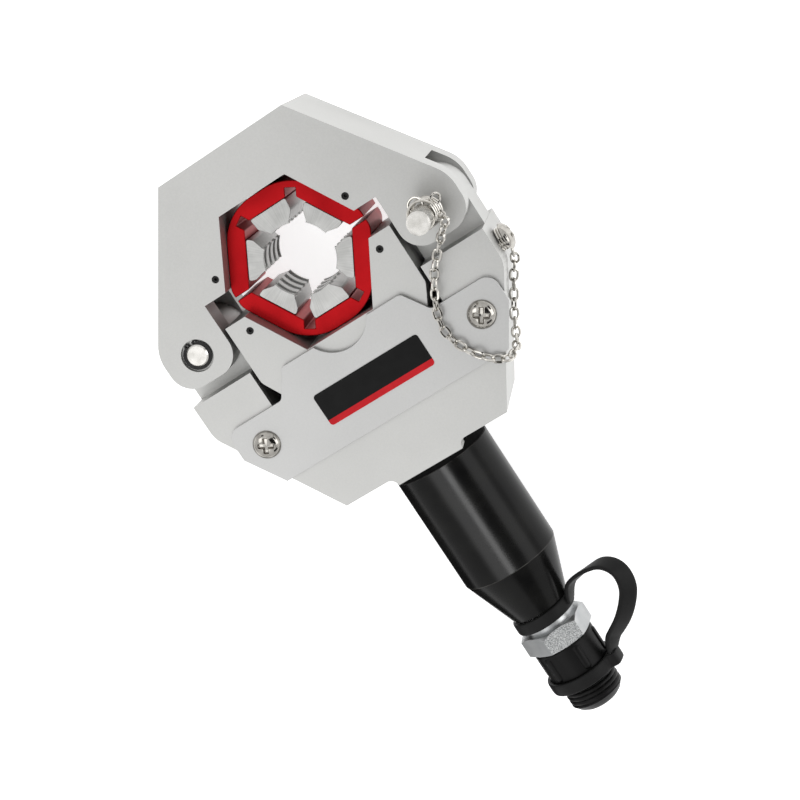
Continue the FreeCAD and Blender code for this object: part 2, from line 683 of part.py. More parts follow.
def make_die_holder(name, turn):
    """One half of the die carrier, drawn for the jaw and turned over for the pusher."""
    body = new_body(name)
    outer = S.seat_apothem - 0.2
    inner = S.seat_apothem - S.holder_wall
    split = S.die_split / 2 - S.seat_offset
    low = BACK + S.die_setback
    depth = S.body_thickness - 2 * S.die_setback
    right = holder_corners(outer, inner, split)
    corners = right + [(-x, y) for x, y in reversed(right)]
    pad(body, polygon(new_sketch(body, "outline", "XY_Plane", low), corners), depth)
    round_corners(body, both_sides(flat_half(outer), outer), S.holder_round, "outer_corners")
    round_corners(body, both_sides(outer / COS30, size_of(0)), 8, "side_corners")
    slots = new_sketch(body, "corner_slots", "XY_Plane", low - 1)
    half = S.holder_slot_half
    for side in (1, -1):
        # a slot along the direction 60 degrees from the X axis, or its mirror image
        near = inner
        far = inner + S.holder_slot_depth
        across_x = half * COS30
        across_y = half * 0.5
        corners = [
            (near * 0.5 + across_x, near * COS30 - across_y),
            (far * 0.5 + across_x, far * COS30 - across_y),
            (far * 0.5 - across_x, far * COS30 + across_y),
            (near * 0.5 - across_x, near * COS30 + across_y),
        ]
        polygon(slots, [(x * side, y) for x, y in corners])
    pocket(body, slots, depth + 2, False, True)
    body.Placement = FreeCAD.Placement(FreeCAD.Vector(), FreeCAD.Rotation(FreeCAD.Vector(0, 0, 1), turn))
    shift = S.seat_offset if turn == 0 else -S.seat_offset
    body.setExpression("Placement.Base.y", shift.text)
    return body


def make_segment(name, angle):
    """Die segment, drawn for the jaw's top flat and turned about the bore's axis."""
    body = new_body(name)
    upright = angle in (90, 270)
    seat = S.seat_offset if upright else S.seat_offset * 0.5
    back = S.seat_apothem - S.holder_wall - S.segment_play + seat
    low = BACK + S.die_setback + 0.4
    depth = S.body_thickness - 2 * (S.die_setback + 0.4)
    tip = S.bore_radius * 0.8
    waist = S.bore_radius + S.segment_taper
    right = [
        (S.segment_back_half, back),
        (S.segment_waist_half, waist),
        (S.segment_tip_half, S.bore_radius),
        (S.segment_tip_half, tip),
    ]
    pad(body, polygon(new_sketch(body, "outline", "XY_Plane", low), mirrored_outline(right)), depth)
    round_corners(body, both_sides(S.segment_back_half, back), S.segment_back_round, "back_corners")
    round_corners(body, both_sides(S.segment_waist_half, waist), S.segment_waist_round, "waist_corners")
    hollow = new_sketch(body, "bore", "XY_Plane", low - 1)
    circle(hollow, 0, 0, S.bore_radius)
    pocket(body, hollow, depth + 2, False, True)
    grooves = new_sketch(body, "grooves", "XZ_Plane")
    for step in (-1.5, -0.5, 0.5, 1.5):
        middle = S.groove_pitch * step
        near = S.bore_radius - 1
        far = S.bore_radius + S.groove_depth
        half = S.groove_width / 2
        polygon(grooves, [(near, middle - half), (far, middle - half), (far, middle + half), (near, middle + half)])
    turned_cut(body, grooves)
    turn = FreeCAD.Rotation(FreeCAD.Vector(0, 0, 1), angle - 90)
    body.Placement = FreeCAD.Placement(FreeCAD.Vector(), turn)
    return body


def make_piston():
    body = new_body("piston")
    low = S.piston_top - S.piston_length
    outer = S.piston_radius - S.shaft_gap
    middle = S.piston_top - S.piston_length / 2
    groove = S.piston_radius - 2 * S.seal_radius - 0.1
    half = S.seal_radius + 0.1
    polygon(new_sketch(body, "profile", "XY_Plane"), [
        (0, PUSHER_BOTTOM - 14), (5.0, PUSHER_BOTTOM - 14), (5.0, PUSHER_BOTTOM),
        (S.rod_radius - 1, PUSHER_BOTTOM), (S.rod_radius, PUSHER_BOTTOM - 1), (S.rod_radius, S.piston_top),
        (outer, S.piston_top), (outer, middle + half), (groove, middle + half), (groove, middle - half),
        (outer, middle - half), (outer, low), (0, low)])
    turned(body, body.Group[-1])
    return body


def make_ring_seal(name, ring_radius, wire_radius, height):
    ring = doc.addObject("Part::Torus", name)
    ring.Label = name
    ring.Placement = FreeCAD.Placement(FreeCAD.Vector(), FreeCAD.Rotation(FreeCAD.Vector(1, 0, 0), 90))
    ring.setExpression("Radius1", ring_radius.text)
    ring.setExpression("Radius2", wire_radius.text)
    ring.setExpression("Placement.Base.y", height.text)
    doc.recompute()
    return ring


def make_gland():
    body = new_body("rod_gland")
    outer = S.piston_radius - S.shaft_gap
    inner = S.rod_radius + S.shaft_gap
    polygon(new_sketch(body, "profile", "XY_Plane"), [
        (inner, S.neck_top - 0.2), (outer, S.neck_top - 0.2), (outer, S.gland_bottom), (inner, S.gland_bottom)])
    turned(body, body.Group[-1])
    return body


def make_return_spring():
    """Coil spring round the rod, between the gland and the piston, drawn with flat facets."""
    middle = (S.rod_radius.number + S.piston_radius.number) / 2
    wire = S.spring_wire.number
    low = S.piston_top.number + wire + 0.1
    height = S.gland_bottom.number - S.piston_top.number - 2 * wire - 0.2
    steps = int(S.spring_turns.number * S.spring_facets.number)
    rings = []
    for step in range(steps + 1):
        around = 2 * math.pi * step / S.spring_facets.number
        ring = []
        for corner in range(6):
            angle = math.pi * corner / 3
            radius = middle + wire * math.cos(angle)
            rise = low + height * step / steps + wire * math.sin(angle)
            ring.append(FreeCAD.Vector(radius * math.cos(around), rise, -radius * math.sin(around)))
        rings.append(ring)
    faces = []
    for here, after in zip(rings, rings[1:]):
        for corner in range(6):
            other = (corner + 1) % 6
            first = [here[corner], here[other], after[other], here[corner]]
            second = [here[corner], after[other], after[corner], here[corner]]
            faces.append(Part.Face(Part.makePolygon(first)))
            faces.append(Part.Face(Part.makePolygon(second)))
    for ring in (rings[0], rings[-1]):
        faces.append(Part.Face(Part.makePolygon(ring + [ring[0]])))
    solid = Part.Solid(Part.Shell(faces))
    if solid.Volume < 0:
        solid.reverse()
    spring = doc.addObject("Part::Feature", "return_spring")
    spring.Label = "return_spring"
    spring.Shape = solid
    return spring


def make_barrel():
    body = new_body("cylinder_barrel")
    stub_hole = S.stub_radius + S.shaft_gap
    stub_end = S.barrel_end + S.stub_length + 1
    polygon(new_sketch(body, "profile", "XY_Plane"), [
        (S.piston_radius, S.neck_top), (S.neck_radius, S.neck_top), (S.neck_radius, S.barrel_shoulder),
        (S.barrel_radius, S.barrel_shoulder), (S.barrel_radius, S.barrel_taper_top),
        (S.barrel_end_radius, S.barrel_end), (stub_hole, S.barrel_end), (stub_hole, stub_end),
        (S.port_radius, stub_end), (S.port_radius, S.chamber_end), (S.piston_radius, S.chamber_end)])
    turned(body, body.Group[-1])
    return body


def coupler_places():
    neck_end = S.barrel_end - S.coupler_neck_length
    hex_end = neck_end - S.hex_length
    spigot_end = hex_end - S.spigot_length
    return neck_end, hex_end, spigot_end


def make_coupler():
    """Nipple of the quick coupler: stub in the barrel, neck, hexagon and threaded spigot."""
    body = new_body("coupler_nipple")
    neck_end, hex_end, spigot_end = coupler_places()
    stub_top = S.barrel_end + S.stub_length
    inner = S.poppet_radius + S.sliding_gap
    polygon(new_sketch(body, "profile", "XY_Plane"), [
        (S.port_radius, stub_top), (S.stub_radius, stub_top), (S.stub_radius, S.barrel_end),
        (S.coupler_neck_radius, S.barrel_end), (S.coupler_neck_radius, hex_end + 1),
        (S.spigot_radius, hex_end + 1), (S.spigot_radius, spigot_end + 1), (S.spigot_radius - 1, spigot_end),
        (inner - 1, spigot_end), (inner - 1, spigot_end + 3), (inner, spigot_end + 4), (inner, hex_end),
        (S.port_radius, hex_end + 2)])
    turned(body, body.Group[-1])
    corner = S.hex_apothem / COS30
    hexagon = new_sketch(body, "hexagon", "XZ_Plane", -neck_end)
    polygon(hexagon, [
        (corner, 0), (corner * 0.5, S.hex_apothem), (-corner * 0.5, S.hex_apothem), (-corner, 0),
        (-corner * 0.5, -S.hex_apothem), (corner * 0.5, -S.hex_apothem)])
    pad(body, hexagon, S.hex_length)
    corners = new_sketch(body, "hexagon_chamfers", "XY_Plane")
    drop = (corner - S.hex_apothem) * TAN30
    polygon(corners, [(S.hex_apothem, neck_end), (corner + 1, neck_end - drop * 1.6), (corner + 1, neck_end + 1),
                      (S.hex_apothem, neck_end + 1)])
    polygon(corners, [(S.hex_apothem, hex_end), (S.hex_apothem, hex_end - 1), (corner + 1, hex_end - 1),
                      (corner + 1, hex_end + drop * 0.7)])
    turned_cut(body, corners)
    bore = new_sketch(body, "bore", "XY_Plane")
    polygon(bore, [
        (0, stub_top + 1), (S.port_radius, stub_top + 1), (S.port_radius, hex_end + 2), (inner, hex_end),
        (inner, spigot_end + 4), (inner - 1, spigot_end + 3), (inner - 1, spigot_end - 1), (0, spigot_end - 1)])
    turned_cut(body, bore)
    turn = FreeCAD.Rotation(FreeCAD.Vector(0, 1, 0), S.hex_turn.number)
    body.Placement = FreeCAD.Placement(FreeCAD.Vector(), turn)
    return body


def make_poppet():
    body = new_body("coupler_poppet")
    neck_end, hex_end, spigot_end = coupler_places()
    polygon(new_sketch(body, "profile", "XY_Plane"), [
        (0, spigot_end), (S.poppet_radius - 1.6, spigot_end), (S.poppet_radius - 1.6, spigot_end + 3.2),
        (S.poppet_radius, spigot_end + 4.6), (S.poppet_radius, spigot_end + 9), (2, spigot_end + 9),
        (2, spigot_end + 12), (0, spigot_end + 12)])
    turned(body, body.Group[-1])
    return body


def make_dust_cap():
    """Screw cap over the spigot: ribbed skirt, strap groove and a threaded stub for the hose's own cap."""
    body = new_body("dust_cap")
    neck_end, hex_end, spigot_end = coupler_places()
    top = hex_end - 0.4
    skirt_end = hex_end - S.cap_length
    tip = skirt_end - S.cap_stub_length
    inside = S.spigot_radius + S.sliding_gap
    ceiling = spigot_end - 0.6
    profile = new_sketch(body, "profile", "XY_Plane")
    polygon(profile, [
        (inside, top), (S.cap_radius, top), (S.cap_radius, skirt_end), (S.cap_stub_radius, skirt_end - 0.6),
        (S.cap_stub_radius, tip + 4.5), (S.cap_stub_radius * 0.82, tip + 1.8), (S.cap_stub_radius * 0.45, tip + 0.3),
        (0, tip), (0, ceiling), (inside, ceiling)])
    turned(body, profile)
    rib = new_sketch(body, "rib", "XZ_Plane", -(top - 1.2))
    rib_half = S.cap_rib_half
    out = S.cap_radius + S.cap_rib_height
    polygon(rib, [(S.cap_radius - 0.6, rib_half), (out, rib_half * 0.6), (out, -rib_half * 0.6),
                  (S.cap_radius - 0.6, -rib_half)])
    length = S.cap_length - S.ring_length - 1.8
    rib_pad = pad(body, rib, length)
    pattern = body.newObject("PartDesign::PolarPattern", "dust_cap_ribs")
    pattern.Originals = [rib_pad]
    pattern.Axis = (profile, ["V_Axis"])
    pattern.Angle = 360
    pattern.Occurrences = 6
    body.Tip = pattern
    turn = FreeCAD.Rotation(FreeCAD.Vector(0, 1, 0), -S.cap_turn.number)
    body.Placement = FreeCAD.Placement(FreeCAD.Vector(), turn)
    doc.recompute()
    return body


def make_end_ring():
    """Ring of the strap that the dust cap turns in, with the ear that the band ends on."""
    body = new_body("strap_end_ring")
    neck_end, hex_end, spigot_end = coupler_places()
    low = hex_end - S.cap_length + 0.2
    inner = S.cap_radius + S.shaft_gap
    outer = S.cap_radius + S.ring_wall
    high = low + S.ring_length - 0.4
    polygon(new_sketch(body, "profile", "XY_Plane"), [
        (inner, low), (outer - 0.6, low), (outer, low + 0.6), (outer, high - 0.6), (outer - 0.6, high), (inner, high)])
    turned(body, body.Group[-1])
    ear = new_sketch(body, "ear", "XZ_Plane", -high)
    half = S.strap_width / 2
    near = inner + 0.8
    polygon(ear, [(near, half), (S.strap_ear_reach - 2, half), (S.strap_ear_reach, half - 2),
                  (S.strap_ear_reach, 2 - half), (S.strap_ear_reach - 2, -half), (near, -half)])
    pad(body, ear, S.ring_length - 0.4)
    turn = FreeCAD.Rotation(FreeCAD.Vector(0, 1, 0), -S.strap_turn.number)
    body.Placement = FreeCAD.Placement(FreeCAD.Vector(), turn)
    return body


def tangent_path(corners, share=0.45):
    """Straight runs joined by tangent arcs, each as large as its two runs allow."""
    edges = []
    at = corners[0]
    for before, here, after in zip(corners, corners[1:], corners[2:]):
        arriving = (here - before).normalize()
        leaving = (after - here).normalize()
        turn = arriving.getAngle(leaving)
        run = share * min((here - before).Length, (after - here).Length)
        start = here - arriving * run
        end = here + leaving * run
        radius = run / math.tan(turn / 2)
        inward = (leaving - arriving).normalize()
        middle = here + inward * (math.hypot(radius, run) - radius)
        edges.append(Part.LineSegment(at, start).toShape())
        edges.append(Part.Arc(start, middle, end).toShape())
        at = end
    edges.append(Part.LineSegment(at, corners[-1]).toShape())
    return Part.Wire(edges)


def make_strap():
    """Rubber strap of the dust cap: a ring on the coupler's neck and a loop of flat band."""
    inner = S.coupler_neck_radius.number + S.sliding_gap.number
    outer = S.barrel_end_radius.number + 1.1
    ring_top = S.barrel_end.number - 1.5
    length = S.strap_ring_length.number
    width = S.strap_width.number
    thick = S.strap_thickness.number
    down = FreeCAD.Vector(0, -1, 0)
    tube = Part.makeCylinder(outer, length, FreeCAD.Vector(0, ring_top, 0), down)
    hole = Part.makeCylinder(inner, length + 2, FreeCAD.Vector(0, ring_top + 1, 0), down)
    neck_end, hex_end, spigot_end = coupler_places()
    landing = hex_end.number - S.cap_length.number + S.ring_length.number + 0.2
    along = S.strap_ear_reach.number - thick / 2 - 0.9
    start = FreeCAD.Vector(outer - 0.7, ring_top - length * 0.6, 0)
    reach = S.strap_reach.number
    rise = S.strap_rise.number
    route = [
        start,
        start + FreeCAD.Vector(reach * 0.1, rise * 0.57, 0),
        start + FreeCAD.Vector(reach * 0.32, rise * 0.86, 0),
        start + FreeCAD.Vector(reach * 0.73, rise, 0),
        start + FreeCAD.Vector(reach * 0.98, rise * 0.65, 0),
        start + FreeCAD.Vector(reach, -rise * 0.13, 0),
        start + FreeCAD.Vector(reach * 0.82, -rise * 0.81, 0),
        FreeCAD.Vector(along + 9.5, landing + 9.8, 0),
        FreeCAD.Vector(along + 1.6, landing + 6.2, 0),
        FreeCAD.Vector(along, landing, 0),
    ]
    band = tangent_path(route).makeOffset2D(thick / 2, 0, True, True)
    band.translate(FreeCAD.Vector(0, 0, -width / 2))
    strip = band.extrude(FreeCAD.Vector(0, 0, width))
    ring = tube.cut(hole)
    strap = doc.addObject("Part::Feature", "dust_cap_strap")
    strap.Label = "dust_cap_strap"
    strap.Shape = ring.fuse(strip.cut(hole)).removeSplitter()
    turn = FreeCAD.Rotation(FreeCAD.Vector(0, 1, 0), -S.strap_turn.number)
    strap.Placement = FreeCAD.Placement(FreeCAD.Vector(), turn)
    return strap


def beside_slant(height, out, depth):
    """Place at a distance from the frame's slanted right side, at a height and a depth."""
    fall = (height - S.frame_bottom.number) / (S.frame_corner.number - S.frame_bottom.number)
    side = S.frame_bottom_half.number + fall * (FRAME_HALF.number - S.frame_bottom_half.number)
    return FreeCAD.Vector(side + out, height, depth)


def make_chain():
    """Outer shape of the chain between the lock pin's ring and the side screw."""
    lie = FRONT.number + S.cover_thickness.number + S.chain_radius.number + 0.7
    ring = FRONT.number + S.key_ring_lift.number + S.key_ring_height.number / 2
    screw_x = FRAME_HALF.number + 2.7
    screw_y = S.side_screw_height.number
    screw_z = S.side_screw_depth.number
    route = [
        FreeCAD.Vector(PIN_ACROSS.number + 7.6, S.pin_height.number - 7, ring - 0.5),
        FreeCAD.Vector(62.5, -22, lie + 5.5),
        FreeCAD.Vector(56.5, -27, lie + 2.6),
        FreeCAD.Vector(49.5, -34.5, lie + 0.6),
        FreeCAD.Vector(44.5, -42.5, lie),
        FreeCAD.Vector(40.5, -51, lie),
        FreeCAD.Vector(39.3, -59, lie),
        FreeCAD.Vector(41.5, -66.5, lie),
        FreeCAD.Vector(45.5, -73.5, lie),
        FreeCAD.Vector(50.5, -79, lie - 0.4),
        FreeCAD.Vector(56.5, -83.5, lie - 2.2),
        beside_slant(-82.5, 5.4, 16),
        beside_slant(-77.5, 3.7, 8),
        beside_slant(-70, 2.7, 3),
        beside_slant(-62.5, 2.7, 1),
        beside_slant(-54.5, 2.9, 1.5),
        FreeCAD.Vector(screw_x - 0.8, screw_y - 10.5, screw_z - 2.4),
        FreeCAD.Vector(screw_x, screw_y - 7.0, screw_z),
    ]
    path = tangent_path(route)
    tangent = (route[1] - route[0]).normalize()
    section = Part.Wire([Part.Circle(route[0], tangent, S.chain_radius.number).toShape()])
    tube = Part.BRepOffsetAPI.MakePipeShell(path)
    tube.setFrenetMode(True)
    tube.add(section)
    tube.build()
    tube.makeSolid()
    chain = doc.addObject("Part::Feature", "safety_chain")
    chain.Label = "safety_chain"
    chain.Shape = tube.shape()
    expected = math.pi * S.chain_radius.number ** 2 * path.Length
    print("safety_chain length", round(path.Length, 1), "volume ratio", round(chain.Shape.Volume / expected, 4))
    return chain


SEGMENTS = {
    "die_segment_top": 90,
    "die_segment_upper_right": 30,
    "die_segment_upper_left": 150,
    "die_segment_bottom": 270,
    "die_segment_lower_right": 330,
    "die_segment_lower_left": 210,
}

parts = [
    make_upper_jaw(),
    make_lower_frame(),
    make_cover_plate(),
    make_cover_screws(),
    make_chain_screw(),
    make_chain_screw_ring(),
    make_hinge_pin(),
    make_hinge_pin_clip(),
    make_lock_pin(),
    make_key_ring(),
    make_grubs("jaw_grub_screws", S.grub_jaw_height),
    make_grubs("pusher_grub_screws", S.grub_pusher_height),
    make_pusher(),
    make_pusher_bolt(),
    make_die_holder("upper_die_holder", 0),
    make_die_holder("lower_die_holder", 180),
]
parts += [make_segment(name, angle) for name, angle in SEGMENTS.items()]
seal_height = S.piston_top - S.piston_length / 2
parts += [
    make_piston(),
    make_ring_seal("piston_seal", S.piston_radius - S.seal_radius - S.shaft_gap, S.seal_radius - 0.03, seal_height),
    make_gland(),
    make_return_spring(),
    make_barrel(),
    make_coupler(),
    make_poppet(),
    make_dust_cap(),
    make_end_ring(),
    make_strap(),
    make_chain(),
]
doc.recompute()

for item in doc.Objects:
    if "Invalid" in item.State or "Error" in item.State:
        raise RuntimeError(item.Name + " failed: " + str(item.State))
for part in parts:
    if part.Shape.isNull() or not part.Shape.isValid():
        raise RuntimeError(part.Label + " has no valid shape")

os.makedirs("parts", exist_ok=True)
for part in parts:
    part.Shape.exportStep("parts/" + part.Label + ".step")
    box = part.Shape.BoundBox
    print(part.Label, "solids", len(part.Shape.Solids), "volume", round(part.Shape.Volume), "box",
          [round(value, 1) for value in (box.XMin, box.YMin, box.ZMin, box.XMax, box.YMax, box.ZMax)])
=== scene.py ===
import json
import math

import bmesh
import bpy
import numpy as np
from mathutils import Matrix, Vector

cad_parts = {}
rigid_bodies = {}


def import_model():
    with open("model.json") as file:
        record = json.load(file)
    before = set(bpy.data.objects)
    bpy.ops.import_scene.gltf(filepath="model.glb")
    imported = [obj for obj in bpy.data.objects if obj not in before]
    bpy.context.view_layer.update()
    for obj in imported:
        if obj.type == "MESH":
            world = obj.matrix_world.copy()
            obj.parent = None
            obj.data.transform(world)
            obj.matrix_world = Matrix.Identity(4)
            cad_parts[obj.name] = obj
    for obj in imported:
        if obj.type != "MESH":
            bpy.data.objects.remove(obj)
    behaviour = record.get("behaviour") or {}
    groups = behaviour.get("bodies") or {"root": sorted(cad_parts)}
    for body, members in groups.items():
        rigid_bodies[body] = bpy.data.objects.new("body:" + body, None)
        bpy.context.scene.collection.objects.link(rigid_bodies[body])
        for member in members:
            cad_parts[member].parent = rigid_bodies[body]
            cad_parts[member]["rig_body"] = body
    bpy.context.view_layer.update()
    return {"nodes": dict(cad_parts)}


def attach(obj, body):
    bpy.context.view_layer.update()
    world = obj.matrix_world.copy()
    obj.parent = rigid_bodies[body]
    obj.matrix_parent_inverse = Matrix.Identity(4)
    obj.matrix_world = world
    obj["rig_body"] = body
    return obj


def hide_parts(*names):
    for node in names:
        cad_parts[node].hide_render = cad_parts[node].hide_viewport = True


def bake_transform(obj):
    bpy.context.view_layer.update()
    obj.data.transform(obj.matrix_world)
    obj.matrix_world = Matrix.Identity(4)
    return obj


# Hose crimping head lying on its back on a white table, in the CAD frame. Places of the camera, the lamps and
# the cards are in metres. The sizes of pieces and patterns are in millimetres, and times mm they are metres.
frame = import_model()
mm = 0.001
print("frame loaded:", len(frame["nodes"]), "nodes")


# camera, at the photograph's viewing angle
cameraSetup = {
    "place": (0.18457, 0.03855, 0.69364),
    "aim": (-0.00206, -0.07908, 0.0),
    "upward": 56.768,
    "lens": 72.12,
}


def placeCamera(setup):
    # looks from place to aim; upward is the turn of the picture's top, in degrees from X on the table
    data = bpy.data.cameras.new("photoCamera")
    data.lens = setup["lens"]
    data.sensor_width = 36.0
    data.clip_start = 0.01
    data.clip_end = 20.0
    camera = bpy.data.objects.new("photoCamera", data)
    bpy.context.scene.collection.objects.link(camera)
    ahead = (Vector(setup["aim"]) - Vector(setup["place"])).normalized()
    turn = math.radians(setup["upward"])
    right = ahead.cross(Vector((math.cos(turn), math.sin(turn), 0))).normalized()
    up = right.cross(ahead)
    axes = Matrix((right, up, -ahead)).transposed().to_4x4()
    camera.matrix_world = Matrix.Translation(setup["place"]) @ axes
    bpy.context.scene.camera = camera


placeCamera(cameraSetup)
print("camera placed")


# small helpers for nodes and meshes

def linearColour(code):
    # an sRGB hex value as linear red, green, blue and alpha
    values = [int(code[start:start + 2], 16) / 255 for start in (1, 3, 5)]
    return tuple(v / 12.92 if v <= 0.04045 else ((v + 0.055) / 1.055) ** 2.4 for v in values) + (1.0,)


def addNode(tree, kind, inputs=None, stops=(), **settings):
    # a shader node with its values or links by socket, a ramp's stops of place and hex value, and settings
    node = tree.nodes.new("ShaderNode" + kind)
    for name, value in settings.items():
        setattr(node, name, value)
    for name, value in (inputs or {}).items():
        if isinstance(value, bpy.types.NodeSocket):
            tree.links.new(value, node.inputs[name])
        else:
            node.inputs[name].default_value = value
    if stops:
        elements = node.color_ramp.elements
        while len(elements) < len(stops):
            elements.new(0.5)
        for element, (position, code) in zip(elements, stops):
            element.position = position
            element.color = linearColour(code)
    return node


def newMaterial(name, metallic, roughness=0.5):
    material = bpy.data.materials.new(name)
    material.use_nodes = True
    tree = material.node_tree
    shader = tree.nodes["Principled BSDF"]
    shader.inputs["Metallic"].default_value = metallic
    shader.inputs["Roughness"].default_value = roughness
    return material, tree, shader


def meshPiece(name, points, faces, material, body, angle=35):
    # edges up to the angle in degrees are shaded smooth; a piece without a body is attached to none
    data = bpy.data.meshes.new(name)
    data.from_pydata([tuple(p) for p in points], [], [tuple(int(i) for i in f) for f in faces])
    data.validate()
    piece = bpy.data.objects.new(name, data)
    bpy.context.scene.collection.objects.link(piece)
    data.materials.append(material)
    data.polygons.foreach_set("use_smooth", np.ones(len(data.polygons), bool))
    data.set_sharp_from_angle(angle=math.radians(angle))
    if body:
        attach(piece, body)
    return piece


def ringFaces(rings, sides, closed=False):
    # four-sided faces between rings of points; closed joins the last ring to the first
    r, c = np.meshgrid(np.arange(rings if closed else rings - 1), np.arange(sides), indexing="ij")
    r2 = (r + 1) % rings
    c2 = (c + 1) % sides
    corners = [r * sides + c, r * sides + c2, r2 * sides + c2, r2 * sides + c]
    return np.stack(corners, -1).reshape(-1, 4)


def cappedFaces(rings, sides):
    # the same with a many-sided face on the first ring and on the last
    start = tuple(range(sides - 1, -1, -1))
    end = tuple((rings - 1) * sides + i for i in range(sides))
    return [tuple(f) for f in ringFaces(rings, sides)] + [start, end]


def filledOut(wave, power):
    # a cosine or sine with its size raised to the power: below 1, an ellipse becomes a rounded rectangle
    return np.sign(wave) * np.abs(wave) ** power


def outwards(piece):
    # doubles merged, then all faces turned outwards
    work = bmesh.new()
    work.from_mesh(piece.data)
    bmesh.ops.remove_doubles(work, verts=work.verts, dist=2e-6)
    bmesh.ops.recalc_face_normals(work, faces=work.faces)
    work.to_mesh(piece.data)
    work.free()
    return piece


def turnedPiece(name, profile, material, body, steps, angle, offsets=None):
    # revolution about Y: point = (r cos t, y, r sin t), r and y from the profile, and r raised by offsets
    profile = np.array(profile, float)
    t = np.linspace(0, 2 * np.pi, steps, endpoint=False)
    r = np.repeat(profile[:, :1], steps, 1)
    y = np.repeat(profile[:, 1:2], steps, 1)
    if offsets is not None:
        r = r + offsets(t[None, :], y, r)
    points = np.stack([r * np.cos(t), y, r * np.sin(t)], -1).reshape(-1, 3) * mm
    faces = ringFaces(len(profile), steps)
    return outwards(meshPiece(name, points, faces, material, body, angle))


def sweptTube(path, radius, sides, reference, closed):
    # tube: path(s) + radius (N cos a + B sin a), with N = T x reference and B = T x N
    path = np.array(path, float)
    if closed:
        tangent = np.roll(path, -1, 0) - np.roll(path, 1, 0)
    else:
        tangent = np.gradient(path, axis=0)
    tangent /= np.linalg.norm(tangent, axis=1)[:, None]
    normal = np.cross(tangent, np.broadcast_to(reference, path.shape))
    normal /= np.linalg.norm(normal, axis=1)[:, None]
    binormal = np.cross(tangent, normal)
    a = np.linspace(0, 2 * np.pi, sides, endpoint=False)
    ring = normal[:, None] * np.cos(a)[None, :, None] + binormal[:, None] * np.sin(a)[None, :, None]
    points = path[:, None] + radius * ring
    faces = ringFaces(len(path), sides, closed)
    points = points.reshape(-1, 3)
    if not closed:
        first, last = len(points), len(points) + 1
        points = np.vstack([points, path[0], path[-1]])
        c = np.arange(sides)
        c2 = (c + 1) % sides
        base = (len(path) - 1) * sides
        startCap = np.stack([c2, c, np.full(sides, first), np.full(sides, first)], -1)
        endCap = np.stack([base + c, base + c2, np.full(sides, last), np.full(sides, last)], -1)
        faces = np.vstack([faces, startCap, endCap])
    return points, faces


def withoutRepeats(faces):
    # a four-sided face at a pole, which names the pole twice, becomes a triangle
    return [tuple(dict.fromkeys(int(i) for i in f)) for f in faces]


def joined(parts):
    # one mesh of several parts, each a pair of points and faces
    points, faces, start = [], [], 0
    for somePoints, someFaces in parts:
        points.append(somePoints)
        faces += [tuple(i + start for i in f) for f in withoutRepeats(someFaces)]
        start += len(somePoints)
    return np.vstack(points), faces


# in degrees: faces that meet at up to merge become one, edges from smooth to broken stay crisp, and the
# sharper ones are bevelled
edgeAngle = {"merge": 1.0, "smooth": 12, "broken": 30}


def softEdged(node, material, width, segments=3):
    # a merged copy of the CAD node with its sharp edges broken, as blasting or deburring leaves them
    work = bmesh.new()
    work.from_mesh(frame["nodes"][node].data)
    bmesh.ops.remove_doubles(work, verts=work.verts, dist=1e-6)
    merge = math.radians(edgeAngle["merge"])
    bmesh.ops.dissolve_limit(work, angle_limit=merge, verts=work.verts, edges=work.edges)
    for edge in work.edges:
        edge.smooth = not edgeAngle["smooth"] < math.degrees(edge.calc_face_angle(0)) < edgeAngle["broken"]
    data = bpy.data.meshes.new(node + "Soft")
    work.to_mesh(data)
    work.free()
    piece = bpy.data.objects.new(node + "Soft", data)
    bpy.context.scene.collection.objects.link(piece)
    data.materials.append(material)
    data.polygons.foreach_set("use_smooth", np.ones(len(data.polygons), bool))
    bevel = piece.modifiers.new("brokenEdges", "BEVEL")
    bevel.width = width * mm
    bevel.segments = segments
    bevel.limit_method = "ANGLE"
    bevel.angle_limit = math.radians(edgeAngle["broken"])
    bevel.use_clamp_overlap = True
    flats = piece.modifiers.new("flatNormals", "WEIGHTED_NORMAL")
    flats.weight = 100
    flats.keep_sharp = True
    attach(piece, frame["nodes"][node]["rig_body"])
    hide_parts(node)


def dress(node, material):
    # a CAD node that keeps its shape gets its finish
    data = frame["nodes"][node].data
    data.materials.clear()
    data.materials.append(material)


# materials

def makeBlastedAluminium(name, base, dark):
    # milled aluminium, glass-bead blasted: an even pale grey with a satin grain and faint clouds of 45 mm
    material, tree, shader = newMaterial(name, 1.0)
    place = addNode(tree, "TexCoord").outputs["Object"]
    cloud = addNode(tree, "TexNoise", {"Vector": place, "Scale": 1 / (45.5 * mm), "Detail": 3.0})
    # the real grain of 0.1 mm is finer than the picture shows, so it is drawn at 0.7 mm
    grit = addNode(tree, "TexNoise", {"Vector": place, "Scale": 1 / (0.7 * mm), "Detail": 2.0})
    tone = addNode(tree, "Math", {0: cloud.outputs[0], 1: grit.outputs[0]}, operation="ADD")
    half = addNode(tree, "Math", {0: tone.outputs[0], 1: 0.5}, operation="MULTIPLY")
    colour = addNode(tree, "ValToRGB", {0: half.outputs[0]}, [(0.3, dark), (0.7, base)])
    satin = addNode(tree, "MapRange", {"Value": grit.outputs[0], "To Min": 0.42, "To Max": 0.54})
    bump = addNode(tree, "Bump", {"Height": grit.outputs[0], "Strength": 0.16, "Distance": 0.08 * mm})
    tree.links.new(colour.outputs[0], shader.inputs["Base Color"])
    tree.links.new(satin.outputs["Result"], shader.inputs["Roughness"])
    tree.links.new(bump.outputs[0], shader.inputs["Normal"])
    return material


